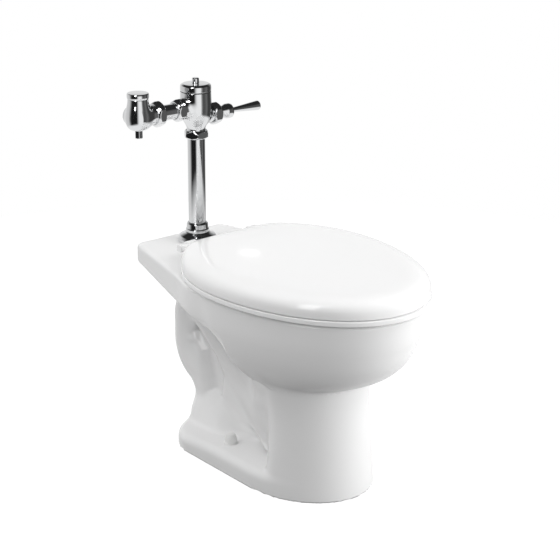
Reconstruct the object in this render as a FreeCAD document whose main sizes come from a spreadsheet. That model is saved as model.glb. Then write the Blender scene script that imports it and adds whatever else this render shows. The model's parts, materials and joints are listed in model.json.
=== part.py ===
import FreeCAD, Part
import math
import os

import Sketcher
from FreeCAD import Placement, Rotation, Vector

# A floor-standing flush-valve toilet: one china bowl with seat and lid, and a
# chromed flush valve on a tube at the back. Millimetres, +Z up, -Y to the front.
# The origin is the centre of the floor outlet, on the floor.

# Driving dimensions
SIZES = {
    # China bowl: the rim and the three sections below it
    "rim_height": 356.0,
    "rim_half_width": 179.0,
    "rim_mid_y": -88.0,
    "rim_front": 265.0,
    "rim_rear": 188.0,
    "side_drop": 56.0,
    "side_half_width": 171.0,
    "side_mid_y": -90.0,
    "side_front": 252.0,
    "side_rear": 180.0,
    "belly_drop": 101.0,
    "belly_half_width": 155.0,
    "belly_mid_y": -95.0,
    "belly_front": 226.0,
    "belly_rear": 160.0,
    "hip_drop": 131.0,
    "hip_half_width": 132.0,
    "hip_mid_y": -102.0,
    "hip_front": 184.0,
    "hip_rear": 140.0,
    "waist_drop": 156.0,
    "waist_half_width": 106.0,
    "waist_mid_y": -108.0,
    "waist_front": 125.0,
    "waist_rear": 120.0,
    "china_wall": 13.0,
    "crease_step": 0.6,
    # Rim opening, rim wall and basin
    "top_wall": 14.0,
    "opening_half_width": 118.0,
    "opening_mid_y": -140.0,
    "opening_front": 160.0,
    "opening_rear": 150.0,
    "rim_skirt": 10.0,
    "rim_skirt_drop": 34.0,
    "pool_rise": 5.0,
    "pool_half_width": 82.0,
    "pool_front": 104.0,
    "pool_rear": 88.0,
    "sump_height": 68.0,
    "sump_half_width": 36.0,
    "sump_front": 42.0,
    "sump_rear": 38.0,
    "sump_mid_y": -100.0,
    # Pedestal and foot
    "base_half_width": 119.0,
    "base_mid_y": -97.0,
    "base_front": 153.0,
    "base_wall": 14.0,
    "base_back_y": -110.0,
    "base_back_lean": -30.0,
    "base_hollow_height": 52.0,
    "foot_height": 36.0,
    "foot_inset": 1.0,
    "foot_edge_radius": 8.0,
    "foot_straight_end": 78.0,
    "foot_rear": 105.0,
    "foot_recess": 20.0,
    "outlet_wall": 16.0,
    # Deck behind the rim
    "deck_behind_spud": 56.0,
    "deck_back_half": 100.0,
    "deck_back_thick": 36.0,
    "deck_start": 48.0,
    "deck_inset": 5.6,
    "deck_drop": 26.0,
    "deck_corner": 24.0,
    "deck_edge_radius": 7.0,
    # Trapway
    "trap_r": 46.0,
    "passage_r": 25.0,
    "trap_start_y": -105.0,
    "trap_floor_z": 92.0,
    "trap_turn_y": -35.0,
    "trap_turn_radius": 80.0,
    "crown_y": 192.0,
    "crown_corner_z": 286.0,
    "crown_radius": 52.0,
    "jog_top_z": 139.0,
    "jog_bottom_z": 106.0,
    "jog_radius": 50.0,
    "leg_y": 130.0,
    "outlet_run_z": 48.0,
    "outlet_bend_radius": 27.0,
    "outlet_r": 30.0,
    "outlet_depth": 20.0,
    "hump_r": 66.0,
    "hump_z": 30.0,
    "hump_front_y": 44.0,
    "hump_back_y": 112.0,
    "web_half": 22.0,
    "neck_half_width": 45.0,
    "neck_mid_y": 138.0,
    "neck_reach": 84.0,
    # Floor bolts
    "bolt_spacing": 152.4,
    "bolt_hole_r": 6.5,
    "bolt_cap_r": 11.0,
    "bolt_cap_wall": 2.0,
    "bolt_cap_height": 17.0,
    "bolt_cap_straight": 8.2,
    "bolt_cap_shoulder": 3.3,
    "bolt_cap_shoulder_r": 8.8,
    "bolt_cap_flat_r": 4.4,
    "bolt_washer_r": 13.0,
    "bolt_washer_thick": 1.6,
    # Seat and lid
    "lid_over_side": 7.6,
    "lid_over_front": 8.0,
    "lid_over_rear": 6.0,
    "lid_rear_square": 2.3,
    "lid_side": 12.0,
    "lid_thick": 25.5,
    "lid_wall": 10.0,
    "lid_roof": 7.0,
    "seat_inset": 2.0,
    "seat_thick": 15.0,
    "seat_lift": 3.5,
    "lid_gap": 1.0,
    "seat_hole_half_width": 112.0,
    "seat_hole_front": 148.0,
    "seat_hole_rear": 140.0,
    "seat_bumper_length": 26.0,
    "seat_bumper_width": 11.0,
    "seat_bumper_front_x": 146.0,
    "seat_bumper_front_y": -160.0,
    "seat_bumper_rear_x": 128.0,
    "seat_bumper_rear_y": 40.0,
    "lid_bumper_r": 7.0,
    "lid_bumper_thick": 4.0,
    "lid_bumper_x": 140.0,
    "lid_bumper_y": -170.0,
    # Seat hinge
    "hinge_behind_lid": 14.0,
    "hinge_rise": 22.0,
    "hinge_half_spacing": 70.0,
    "post_width": 20.0,
    "post_r": 10.0,
    "post_flange_r": 13.0,
    "post_flange_thick": 4.0,
    "pin_r": 4.0,
    "ear_r": 8.0,
    "ear_width": 15.4,
    "ear_arm_thick": 10.0,
    "ear_reach": 34.0,
    "seat_bolt_r": 4.0,
    "seat_bolt_play": 1.5,
    "seat_bolt_depth": 13.0,
    "seat_bolt_tail": 14.0,
    "spot_face_r": 15.0,
    "spot_face_drop": 44.0,
    "washer_r": 11.0,
    "washer_thick": 2.0,
    "seat_nut_flats": 17.0,
    "seat_nut_height": 8.0,
    # Spud and flush tube
    "spud_y": 194.0,
    "tube_r": 16.0,
    "tube_wall": 1.2,
    "tube_bottom": 8.0,
    "spud_wall": 1.6,
    "spud_top": 27.0,
    "spud_flange_r": 28.0,
    "spud_flange_thick": 3.5,
    "bushing_wall": 5.2,
    "bushing_flange_thick": 6.5,
    "chamber_r": 33.0,
    "chamber_depth": 16.0,
    "spud_washer_r": 32.0,
    "spud_washer_thick": 2.0,
    "lock_nut_flats": 50.0,
    "lock_nut_height": 7.0,
    "cover_r": 38.0,
    "cover_height": 18.0,
    "cover_wall": 2.5,
    "spud_nut_r": 21.6,
    "slip_gasket_height": 4.8,
    "slip_ring_height": 1.5,
    "nut_lip": 2.4,
    # Flush valve
    "valve_rise": 197.0,
    "tube_flange_r": 18.2,
    "tube_flange_thick": 2.0,
    "breaker_flange": 2.0,
    "breaker_length": 56.0,
    "breaker_wall": 2.0,
    "tube_nut_flats": 42.0,
    "nipple_r": 18.5,
    "nipple_length": 13.0,
    "valve_neck_r": 16.5,
    "cone_height": 28.0,
    "valve_r": 28.0,
    "valve_height": 84.0,
    "chamber_floor": 45.0,
    "valve_bore_r": 24.0,
    "outlet_bore_r": 13.0,
    "inlet_z": 54.0,
    "inlet_boss_r": 17.0,
    "inlet_reach": 42.0,
    "inlet_socket_depth": 12.0,
    "inlet_bore_r": 8.5,
    "main_seat_r": 20.0,
    "main_seat_thick": 3.5,
    "seat_washer_thick": 3.0,
    "piston_skirt_r": 18.5,
    "piston_height": 24.0,
    "piston_collar": 9.0,
    "piston_gap": 0.4,
    "piston_groove": 4.0,
    "piston_groove_depth": 2.4,
    "piston_recess_r": 9.0,
    "piston_recess": 6.0,
    "stem_r": 3.0,
    "stem_length": 39.0,
    "stem_hole_r": 4.2,
    "stem_hole_flare": 8.0,
    "cap_gasket_thick": 1.0,
    "cap_height": 13.0,
    "cap_spigot": 2.0,
    "regulator_r": 5.0,
    "regulator_head_r": 6.4,
    "regulator_head": 10.0,
    # Handle
    "handle_z": 37.0,
    "handle_boss_r": 15.0,
    "handle_reach": 38.0,
    "spring_pocket_r": 8.5,
    "spring_pocket": 7.0,
    "plunger_r": 3.5,
    "plunger_head_r": 7.0,
    "plunger_head": 2.7,
    "bush_wall": 1.4,
    "spring_r": 5.4,
    "spring_wire_r": 0.7,
    "handle_gasket_thick": 1.0,
    "socket_flange_r": 14.5,
    "socket_cavity_r": 12.0,
    "socket_cavity": 7.3,
    "socket_shoulder": 9.5,
    "socket_neck_r": 8.2,
    "socket_mouth_r": 13.4,
    "socket_length": 39.0,
    "socket_wall": 1.6,
    "handle_nut_flats": 36.0,
    "handle_nut_back": 5.0,
    "lever_disc_r": 10.0,
    "lever_disc": 3.0,
    "lever_root_r": 3.6,
    "lever_tip_r": 8.0,
    "lever_end_r": 5.6,
    "lever_neck": 38.0,
    "lever_length": 102.0,
    # Tailpiece and control stop
    "tail_r": 14.0,
    "tail_wall": 3.0,
    "tail_end": 82.0,
    "tail_flange": 3.0,
    "tail_flange_r": 16.0,
    "tail_gasket_thick": 2.0,
    "oring_width": 3.0,
    "oring_depth": 1.4,
    "oring_inset": 3.0,
    "tail_nut_flats": 40.0,
    "tail_nut_lip": 7.0,
    "tail_nut_length": 17.0,
    "stop_nut_flats": 42.0,
    "stop_nut_length": 18.0,
    "stop_nipple_r": 17.0,
    "stop_x": -126.0,
    "stop_drop": 23.0,
    "stop_height": 57.0,
    "stop_belly_r": 21.5,
    "stop_top_r": 19.5,
    "stop_foot_r": 9.0,
    "stop_bore_r": 13.0,
    "stop_floor": 10.0,
    "stop_port_r": 8.0,
    "supply_boss_r": 16.5,
    "supply_reach": 25.0,
    "supply_bore_r": 13.2,
    "supply_depth": 12.0,
    "stop_cap_height": 10.0,
    "stop_cap_spigot": 5.0,
    "stop_screw_r": 5.0,
    "stop_screw_flats": 13.0,
    "stop_screw_head": 13.7,
    "stop_plug_height": 17.0,
    "stop_packing": 3.0,
    # Clearances
    "run_gap": 0.05,
    "touch_gap": 0.3,
    "thread_gap": 0.1,
}

doc = FreeCAD.newDocument("flush_valve_toilet")
sheet = doc.addObject("Spreadsheet::Sheet", "sizes")
for row, (name, value) in enumerate(SIZES.items(), 1):
    sheet.set(f"A{row}", name)
    sheet.set(f"B{row}", str(value))
    sheet.setAlias(f"B{row}", name)
doc.recompute()


def text_of(number):
    """Expression text of a size, or of a plain number."""
    return number.text if isinstance(number, Size) else repr(float(number))


class Size(float):
    """A number that also carries the sheet expression that gives it."""

    def __new__(cls, value, text):
        size = float.__new__(cls, value)
        size.text = text
        return size

    def __add__(self, other):
        return Size(float(self) + float(other), f"({self.text} + {text_of(other)})")

    def __radd__(self, other):
        return Size(float(other) + float(self), f"({text_of(other)} + {self.text})")

    def __sub__(self, other):
        return Size(float(self) - float(other), f"({self.text} - {text_of(other)})")

    def __rsub__(self, other):
        return Size(float(other) - float(self), f"({text_of(other)} - {self.text})")

    def __mul__(self, other):
        return Size(float(self) * float(other), f"({self.text} * {text_of(other)})")

    def __rmul__(self, other):
        return Size(float(other) * float(self), f"({text_of(other)} * {self.text})")

    def __truediv__(self, other):
        return Size(float(self) / float(other), f"({self.text} / {text_of(other)})")

    def __neg__(self):
        return Size(-float(self), f"(0 - {self.text})")


class Sizes:
    """The sheet's cells as sizes, by alias."""

    def __getattr__(self, alias):
        return Size(sheet.get(alias), f"sizes.{alias}")


s = Sizes()
nodes = []

# Places that several pieces share
side_height = s.rim_height - s.side_drop
belly_height = s.rim_height - s.belly_drop
waist_height = s.rim_height - s.waist_drop
pool_height = waist_height + s.pool_rise
lid_half_width = s.rim_half_width + s.lid_over_side
lid_front = s.rim_front + s.lid_over_front
lid_rear = s.rim_rear + s.lid_over_rear
hinge_y = s.rim_mid_y + lid_rear + s.hinge_behind_lid
hinge_z = s.rim_height + s.hinge_rise
spot_face_z = s.rim_height - s.spot_face_drop
deck_back_y = s.spud_y + s.deck_behind_spud
deck_side_y = s.rim_mid_y + s.deck_start
deck_side_half = s.rim_half_width - s.deck_inset
valve_bottom = s.rim_height + s.valve_rise

# Ways for a turned part's own axis to point
UP = Rotation()
RIGHT = Rotation(Vector(0, 1, 0), 90)
LEFT = Rotation(Vector(0, 1, 0), -90)
BACK = Rotation(Vector(1, 0, 0), -90)

# A coordinate below this lies on an axis of its sketch
ON_AXIS = 1e-9

# Share of a nut's sharp corner that its chamfer leaves
NUT_CORNER = 0.96

# Steps up a quarter round, as shares of its radius
ROUND_STEPS = (0.0, 0.3, 0.6, 1.0)

# The lid's round top: how far in and how far up each outline lies, as shares of its height
LID_STEPS = ((0.0, 0.0), (0.4, 0.52), (1.5, 0.86), (4.0, 1.0))


def bind(thing, path, number):
    """Set a property's expression where the number comes from the sheet."""
    if isinstance(number, Size):
        thing.setExpression(path, number.text)


def place(thing, at, turn=UP):
    """Put an object at a point, with its place bound to the sheet."""
    thing.Placement = Placement(Vector(*[float(number) for number in at]), turn)
    for letter, number in zip("xyz", at):
        bind(thing, f"Placement.Base.{letter}", number)
    return thing


def keep(thing, label):
    """Name an object as a finished piece."""
    thing.Label = label
    nodes.append(thing)
    return thing


def origin_plane(body, role):
    """One of a body's own origin planes."""
    return next(item for item in body.Origin.OriginFeatures if item.Role == role)


def pin_point(sketch, edge, point):
    """Tie the start of a sketch edge to its two coordinates."""
    for kind, number, axis in (("DistanceX", point[0], -2), ("DistanceY", point[1], -1)):
        if abs(number) < ON_AXIS:
            sketch.addConstraint(Sketcher.Constraint("PointOnObject", edge, 1, axis))
            continue
        rule = sketch.addConstraint(Sketcher.Constraint(kind, -1, 1, edge, 1, float(number)))
        bind(sketch, f"Constraints[{rule}]", number)


def turned(name, outline, at=(0, 0, 0), turn=UP):
    """Solid of revolution from a closed outline of (radius, height) corners."""
    body = doc.addObject("PartDesign::Body", name)
    sketch = body.newObject("Sketcher::SketchObject", name + "_outline")
    sketch.AttachmentSupport = [(origin_plane(body, "XZ_Plane"), "")]
    sketch.MapMode = "FlatFace"
    corners = [Vector(float(radius), float(height), 0) for radius, height in outline]
    for start, end in zip(corners, corners[1:] + corners[:1]):
        sketch.addGeometry(Part.LineSegment(start, end), False)
    for edge in range(len(corners)):
        follower = (edge + 1) % len(corners)
        sketch.addConstraint(Sketcher.Constraint("Coincident", edge, 2, follower, 1))
    for edge, point in enumerate(outline):
        pin_point(sketch, edge, point)
    solid = body.newObject("PartDesign::Revolution", name + "_turned")
    solid.Profile = sketch
    solid.ReferenceAxis = (sketch, ["V_Axis"])
    solid.Angle = 360
    return place(body, at, turn)


def rod(name, radius, length, at=(0, 0, 0), turn=UP):
    """Plain cylinder bound to the sheet."""
    cylinder = doc.addObject("Part::Cylinder", name)
    cylinder.Radius = float(radius)
    cylinder.Height = float(length)
    bind(cylinder, "Radius", radius)
    bind(cylinder, "Height", length)
    return place(cylinder, at, turn)


def block(name, size, at):
    """Plain box bound to the sheet."""
    box = doc.addObject("Part::Box", name)
    for path, number in zip(("Length", "Width", "Height"), size):
        setattr(box, path, float(number))
        bind(box, path, number)
    return place(box, at)


def hexagon(name, flats, height, at=(0, 0, 0)):
    """Six-sided bar, by its width across flats."""
    prism = doc.addObject("Part::Prism", name)
    prism.Polygon = 6
    corner_r = flats / math.sqrt(3)
    prism.Circumradius = float(corner_r)
    prism.Height = float(height)
    bind(prism, "Circumradius", corner_r)
    bind(prism, "Height", height)
    return place(prism, at)


def fused(name, things):
    """Union of several objects."""
    union = doc.addObject("Part::MultiFuse", name)
    union.Shapes = things
    return union


def cut(name, base, tool):
    """One object minus another."""
    result = doc.addObject("Part::Cut", name)
    result.Base = base
    result.Tool = tool
    return result


def group(label, things):
    """Several separate solids that share one node."""
    together = doc.addObject("Part::Compound", label)
    together.Links = things
    return keep(together, label)


def carved(name, shape):
    """Free-form solid made by Part's own functions."""
    feature = doc.addObject("Part::Feature", name)
    feature.Shape = shape
    feature.Placement = Placement()
    return feature


def nut_corner(flats):
    """Radius of a nut's chamfered corners, from its width across flats."""
    return flats / math.sqrt(3) * NUT_CORNER


def hex_piece(label, outline, flats, height, at, turn=UP):
    """Nut: a turned blank with six flats."""
    blank = turned(label + "_blank", outline)
    bar = hexagon(label + "_flats", flats, height)
    nut = doc.addObject("Part::Common", label)
    nut.Base = bar
    nut.Tool = blank
    return keep(place(nut, at, turn), label)


# Free-form outlines of the china, seat and lid

CURVE_STEPS = 12


def half_oval(half_width, mid_y, reach, height, square):
    """Half of a rounded outline, from its left end to its right end."""
    points = []
    for step in range(CURVE_STEPS + 1):
        turn = math.pi * step / CURVE_STEPS
        across = -math.cos(turn)
        along = math.sin(turn)
        x = half_width * math.copysign(abs(across) ** (2 / square), across)
        y = mid_y + reach * abs(along) ** (2 / square)
        points.append(Vector(x, y, height))
    points[0] = Vector(-half_width, mid_y, height)
    points[-1] = Vector(half_width, mid_y, height)
    way = Vector(0, math.copysign(1, reach), 0)
    curve = Part.BSplineCurve()
    curve.interpolate(Points=points, InitialTangent=way, FinalTangent=-way)
    return curve.toShape()


def oval(half_width, mid_y, front, rear, height, rear_square=2.0):
    """Closed outline that is one half ellipse to the front and another to the rear."""
    ahead = half_oval(half_width, mid_y, -front, height, 2.0)
    behind = half_oval(half_width, mid_y, rear, height, rear_square)
    return Part.Wire([ahead, behind])


def d_outline(half_width, mid_y, front, back_y, height):
    """Half ellipse to the front, closed by straight sides and a straight back."""
    ahead = half_oval(half_width, mid_y, -front, height, 2.0)
    corners = [
        Vector(half_width, mid_y, height),
        Vector(half_width, back_y, height),
        Vector(-half_width, back_y, height),
        Vector(-half_width, mid_y, height),
    ]
    sides = [Part.LineSegment(a, b).toShape() for a, b in zip(corners, corners[1:])]
    return Part.Wire([ahead] + sides)


def raised(wire, height):
    """Straight solid on a closed outline."""
    return Part.Face(wire).extrude(Vector(0, 0, height))


def rounded_route(corners):
    """Wire in the middle plane through (y, z, radius) corners, each rounded by an arc."""
    points = [Vector(0, y, z) for y, z, _ in corners]
    edges = []
    start = points[0]
    for before, here, after, corner in zip(points, points[1:], points[2:], corners[1:]):
        into = (here - before).normalize()
        out = (after - here).normalize()
        half_turn = into.getAngle(out) / 2
        reach = corner[2] * math.tan(half_turn)
        inward = (out - into).normalize()
        middle = here + inward * (corner[2] / math.cos(half_turn) - corner[2])
        arc_start = here - into * reach
        arc_end = here + out * reach
        edges.append(Part.LineSegment(start, arc_start).toShape())
        edges.append(Part.Arc(arc_start, middle, arc_end).toShape())
        start = arc_end
    edges.append(Part.LineSegment(start, points[-1]).toShape())
    return Part.Wire(edges)


def tube_along(wire, radius):
    """Round bar that follows a wire."""
    first = wire.OrderedEdges[0]
    circle = Part.Circle(first.valueAt(first.FirstParameter), first.tangentAt(first.FirstParameter), radius)
    return wire.makePipeShell([Part.Wire(circle.toShape())], True, False)


# China bowl


def bowl_sections(inset, heights):
    """Outlines of the bowl at named heights, drawn in by a wall."""
    return [
        oval(
            getattr(s, name + "_half_width") - inset,
            getattr(s, name + "_mid_y"),
            getattr(s, name + "_front") - inset,
            getattr(s, name + "_rear") - inset,
            height,
        )
        for name, height in heights
    ]


def trap_corners():
    """Corners of the trapway's middle line from the sump to the down leg."""
    return [
        (s.trap_start_y, s.trap_floor_z, 0.0),
        (s.trap_turn_y, s.trap_floor_z, s.trap_turn_radius),
        (s.crown_y, s.crown_corner_z, s.crown_radius),
        (s.crown_y, s.jog_top_z, s.jog_radius),
        (s.leg_y, s.jog_bottom_z, s.jog_radius),
    ]


def make_bowl_outside():
    """The china's outside: bowl, pedestal, foot, deck, trapway, web and neck."""
    names = ("waist", "hip", "belly", "side")
    heights = [(name, s.rim_height - getattr(s, name + "_drop")) for name in names]
    heights.append(("rim", s.rim_height))
    basin = carved("china_bowl", Part.makeLoft(bowl_sections(0.0, heights), True, False))

    into_bowl = waist_height + s.china_wall / 2
    waist = s.waist_half_width - s.crease_step
    waist_front = s.waist_front - s.crease_step
    levels = [
        d_outline(s.base_half_width, s.base_mid_y, s.base_front, s.base_mid_y + s.base_wall, 0.0),
        d_outline(waist, s.waist_mid_y, waist_front, s.waist_mid_y + s.base_wall, waist_height),
    ]
    column = Part.makeLoft(levels, True, True).fuse(raised(levels[1], into_bowl - waist_height))
    back_high_y = s.base_back_y + s.base_back_lean
    behind = [
        Vector(-s.base_half_width, s.base_back_y, 0),
        Vector(-s.base_half_width, s.base_back_y - s.base_back_lean * 4, 0),
        Vector(-s.base_half_width, s.base_back_y - s.base_back_lean * 4, waist_height),
        Vector(-s.base_half_width, back_high_y, waist_height),
    ]
    behind_face = Part.Face(Part.makePolygon(behind + behind[:1]))
    column = column.cut(behind_face.extrude(Vector(2 * s.base_half_width, 0, 0)))
    pedestal = carved("china_pedestal", column.removeSplitter())

    wall = s.china_wall
    shell = [
        oval(s.sump_half_width + wall, s.sump_mid_y, s.sump_front + wall, s.sump_rear + wall,
             s.sump_height - wall),
        oval(s.pool_half_width + wall, s.waist_mid_y, s.pool_front + wall, s.pool_rear + wall,
             into_bowl),
    ]
    sump = carved("china_sump", Part.makeLoft(shell, True, False))

    round_r = s.foot_edge_radius
    levels = [foot_outline(0.0, 0.0)]
    for share in ROUND_STEPS:
        drawn_in = round_r * (1 - math.sqrt(1 - share * share))
        levels.append(foot_outline(drawn_in, s.foot_height - round_r + share * round_r))
    foot = carved("china_foot", Part.makeLoft(levels, True, True))

    deck = carved("china_deck", deck_shape())

    leg_end = (s.leg_y, 0.0, 0.0)
    trap = carved("china_trap", tube_along(rounded_route(trap_corners() + [leg_end]), s.trap_r))

    hump = Part.makeCylinder(s.hump_r, s.hump_back_y - s.hump_front_y,
                             Vector(0, s.hump_front_y, s.hump_z), Vector(0, 1, 0))
    for end_y in (s.hump_front_y, s.hump_back_y):
        hump = hump.fuse(Part.makeSphere(s.hump_r, Vector(0, end_y, s.hump_z)))
    reach = 4 * s.hump_r
    above = Part.makeBox(reach, reach, reach, Vector(-reach / 2, s.hump_front_y - reach / 2, 0))
    hump = carved("china_outlet_hump", hump.common(above).removeSplitter())

    web_corners = [
        (s.trap_start_y, 0.0),
        (s.leg_y, 0.0),
        (s.leg_y, s.jog_bottom_z),
        (s.crown_y, s.jog_top_z),
        (s.crown_y - s.crown_radius, s.crown_corner_z - s.crown_radius),
        (s.trap_start_y, waist_height),
    ]
    points = [Vector(-s.web_half, y, z) for y, z in web_corners]
    web_face = Part.Face(Part.makePolygon(points + points[:1]))
    web = carved("china_web", web_face.extrude(Vector(2 * s.web_half, 0, 0)))

    neck_low = s.crown_corner_z - 2 * s.crown_radius
    neck_high = s.rim_height - s.top_wall
    neck_outline = oval(s.neck_half_width, s.neck_mid_y, s.neck_reach, s.neck_reach, neck_low)
    neck = carved("china_neck", raised(neck_outline, neck_high - neck_low))
    return fused("china_outside", [basin, pedestal, sump, foot, deck, trap, hump, web, neck])


def foot_outline(inset, height):
    """Outline of the foot: an ellipse inside the pedestal, straight sides, a rounded rear."""
    half = s.base_half_width - s.foot_inset - inset
    ahead = half_oval(half, s.base_mid_y, s.base_wall + inset - s.base_front, height, 2.0)
    behind = half_oval(half, s.foot_straight_end, s.foot_rear - inset, height, 2.0)
    ends = [Vector(half, s.base_mid_y, height), Vector(half, s.foot_straight_end, height)]
    right = Part.LineSegment(*ends).toShape()
    ends = [Vector(-half, s.foot_straight_end, height), Vector(-half, s.base_mid_y, height)]
    left = Part.LineSegment(*ends).toShape()
    return Part.Wire([ahead, right, behind, left])


def deck_shape():
    """The shelf behind the rim, tapered to the back and thicker towards the bowl."""
    corners = [
        Vector(-s.deck_back_half, deck_back_y, 0),
        Vector(s.deck_back_half, deck_back_y, 0),
        Vector(deck_side_half, deck_side_y, 0),
        Vector(-deck_side_half, deck_side_y, 0),
    ]
    plan = raised(Part.makePolygon(corners + corners[:1]), s.rim_height)
    upright = [
        edge for edge in plan.Edges
        if edge.BoundBox.ZLength > s.deck_edge_radius and edge.BoundBox.YMin > deck_side_y + s.run_gap
    ]
    plan = plan.makeFillet(s.deck_corner, upright)
    back_z = s.rim_height - s.deck_back_thick
    profile = [
        Vector(-deck_side_half, deck_back_y, s.rim_height),
        Vector(-deck_side_half, deck_side_y, s.rim_height),
        Vector(-deck_side_half, deck_side_y, back_z - s.deck_drop),
        Vector(-deck_side_half, deck_back_y, back_z),
    ]
    wedge = Part.Face(Part.makePolygon(profile + profile[:1])).extrude(Vector(2 * deck_side_half, 0, 0))
    deck = plan.common(wedge)
    rim_edges = [
        edge for edge in deck.Edges
        if edge.BoundBox.ZMin > s.rim_height - s.run_gap and edge.BoundBox.YMax > deck_side_y + s.run_gap
    ]
    return deck.makeFillet(s.deck_edge_radius, rim_edges)


def make_bowl_hollows():
    """What is taken out of the china: basin, rim channel, passage, inlet way and underside."""
    ceiling = s.rim_height - s.top_wall
    wide = bowl_sections(s.china_wall, [("rim", ceiling), ("side", side_height),
                                        ("belly", belly_height + s.china_wall / 2)])
    pool = oval(s.pool_half_width, s.waist_mid_y, s.pool_front, s.pool_rear, pool_height)
    sump = oval(s.sump_half_width, s.sump_mid_y, s.sump_front, s.sump_rear, s.sump_height)
    basin = Part.makeLoft([pool] + wide[::-1], True, False).fuse(Part.makeLoft([sump, pool], True, True))

    opening = (s.opening_half_width, s.opening_mid_y, s.opening_front, s.opening_rear)
    skirt_low = ceiling - s.rim_skirt_drop
    skirt_size = (s.opening_half_width + s.rim_skirt, s.opening_mid_y,
                  s.opening_front + s.rim_skirt, s.opening_rear + s.rim_skirt)
    skirt = raised(oval(*skirt_size, skirt_low), s.rim_skirt_drop + s.top_wall)
    mouth = raised(oval(*opening, skirt_low - s.top_wall), s.rim_skirt_drop + 3 * s.top_wall)
    basin = carved("basin_hollow", basin.cut(skirt).fuse(mouth))

    outlet_way = [
        (s.leg_y, s.outlet_run_z, s.outlet_bend_radius),
        (0.0, s.outlet_run_z, s.outlet_bend_radius),
        (0.0, -s.outlet_depth, 0.0),
    ]
    passage = carved("passage", tube_along(rounded_route(trap_corners() + outlet_way), s.passage_r))
    outlet = rod("outlet_bore", s.outlet_r, 2 * s.outlet_depth, (0, 0, -s.outlet_depth))

    chamber = rod("inlet_chamber", s.chamber_r, s.chamber_depth,
                  (0, s.spud_y, s.rim_height - s.top_wall - s.chamber_depth))
    channel_end = s.rim_mid_y + s.rim_rear - 2 * s.china_wall
    channel = block("inlet_channel", (2 * s.chamber_r, s.spud_y - channel_end, s.chamber_depth),
                    (-s.chamber_r, channel_end, s.rim_height - s.top_wall - s.chamber_depth))
    spud_hole_r = s.tube_r + s.touch_gap + s.spud_wall + s.thread_gap + s.bushing_wall + s.thread_gap
    spud_hole = rod("spud_hole", spud_hole_r, 2 * s.top_wall, (0, s.spud_y, s.rim_height - s.top_wall))

    under = d_outline(s.base_half_width - s.base_wall, s.base_mid_y, s.base_front - s.base_wall,
                      s.base_mid_y + s.foot_inset, -s.foot_recess)
    under_pedestal = carved("pedestal_hollow", raised(under, s.base_hollow_height + s.foot_recess))
    under_foot = raised(foot_recess_outline(), 2 * s.foot_recess)
    kept = Part.makeCylinder(s.outlet_r + s.outlet_wall, 4 * s.foot_recess,
                             Vector(0, 0, -2 * s.foot_recess))
    for side in (-1, 1):
        around_bolt = Part.makeCylinder(2 * s.bolt_washer_r, 4 * s.foot_recess,
                                        Vector(side * s.bolt_spacing / 2, 0, -2 * s.foot_recess))
        kept = kept.fuse(around_bolt)
    floor_recess = carved("foot_hollow", under_foot.cut(kept))

    holes = [basin, passage, outlet, chamber, channel, spud_hole, under_pedestal, floor_recess]
    for side, name in ((-1, "left"), (1, "right")):
        bolt_x = side * s.bolt_spacing / 2
        holes.append(rod(f"floor_bolt_hole_{name}", s.bolt_hole_r, 3 * s.foot_height,
                         (bolt_x, 0, -s.foot_height)))
        post_x = side * s.hinge_half_spacing
        seat_hole_r = s.seat_bolt_r + s.seat_bolt_play
        holes.append(rod(f"seat_bolt_hole_{name}", seat_hole_r, 3 * s.deck_back_thick,
                         (post_x, hinge_y, s.rim_height - 2 * s.deck_back_thick)))
        holes.append(rod(f"spot_face_{name}", s.spot_face_r, s.deck_back_thick,
                         (post_x, hinge_y, spot_face_z - s.deck_back_thick)))
    return fused("china_hollows", holes)


def foot_recess_outline():
    """Outline of the hollow under the foot, behind the pedestal."""
    half = s.base_half_width - s.base_wall - s.foot_inset
    behind = half_oval(half, s.foot_straight_end, s.foot_rear - s.base_wall, -s.foot_recess, 2.0)
    start_y = s.base_mid_y + s.base_wall
    corners = [
        Vector(half, s.foot_straight_end, -s.foot_recess),
        Vector(half, start_y, -s.foot_recess),
        Vector(-half, start_y, -s.foot_recess),
        Vector(-half, s.foot_straight_end, -s.foot_recess),
    ]
    sides = [Part.LineSegment(a, b).toShape() for a, b in zip(corners, corners[1:])]
    return Part.Wire(Part.__sortEdges__([behind] + sides))


def under_trap_top(reach):
    """Everything below a plane that runs up the trapway, between its passage and the basin."""
    along = Vector(0, s.crown_y - s.trap_turn_y, s.crown_corner_z - s.trap_floor_z).normalize()
    out = Vector(0, -along.z, along.y)
    start = Vector(-reach, s.trap_turn_y, s.trap_floor_z) + out * ((s.passage_r + s.trap_r) / 2)
    far = along * (2 * reach)
    low = out * (-2 * reach)
    corners = [start - far, start + far, start + far + low, start - far + low]
    face = Part.Face(Part.makePolygon(corners + corners[:1]))
    return carved("below_trap_top", face.extrude(Vector(2 * reach, 0, 0)))


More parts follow.
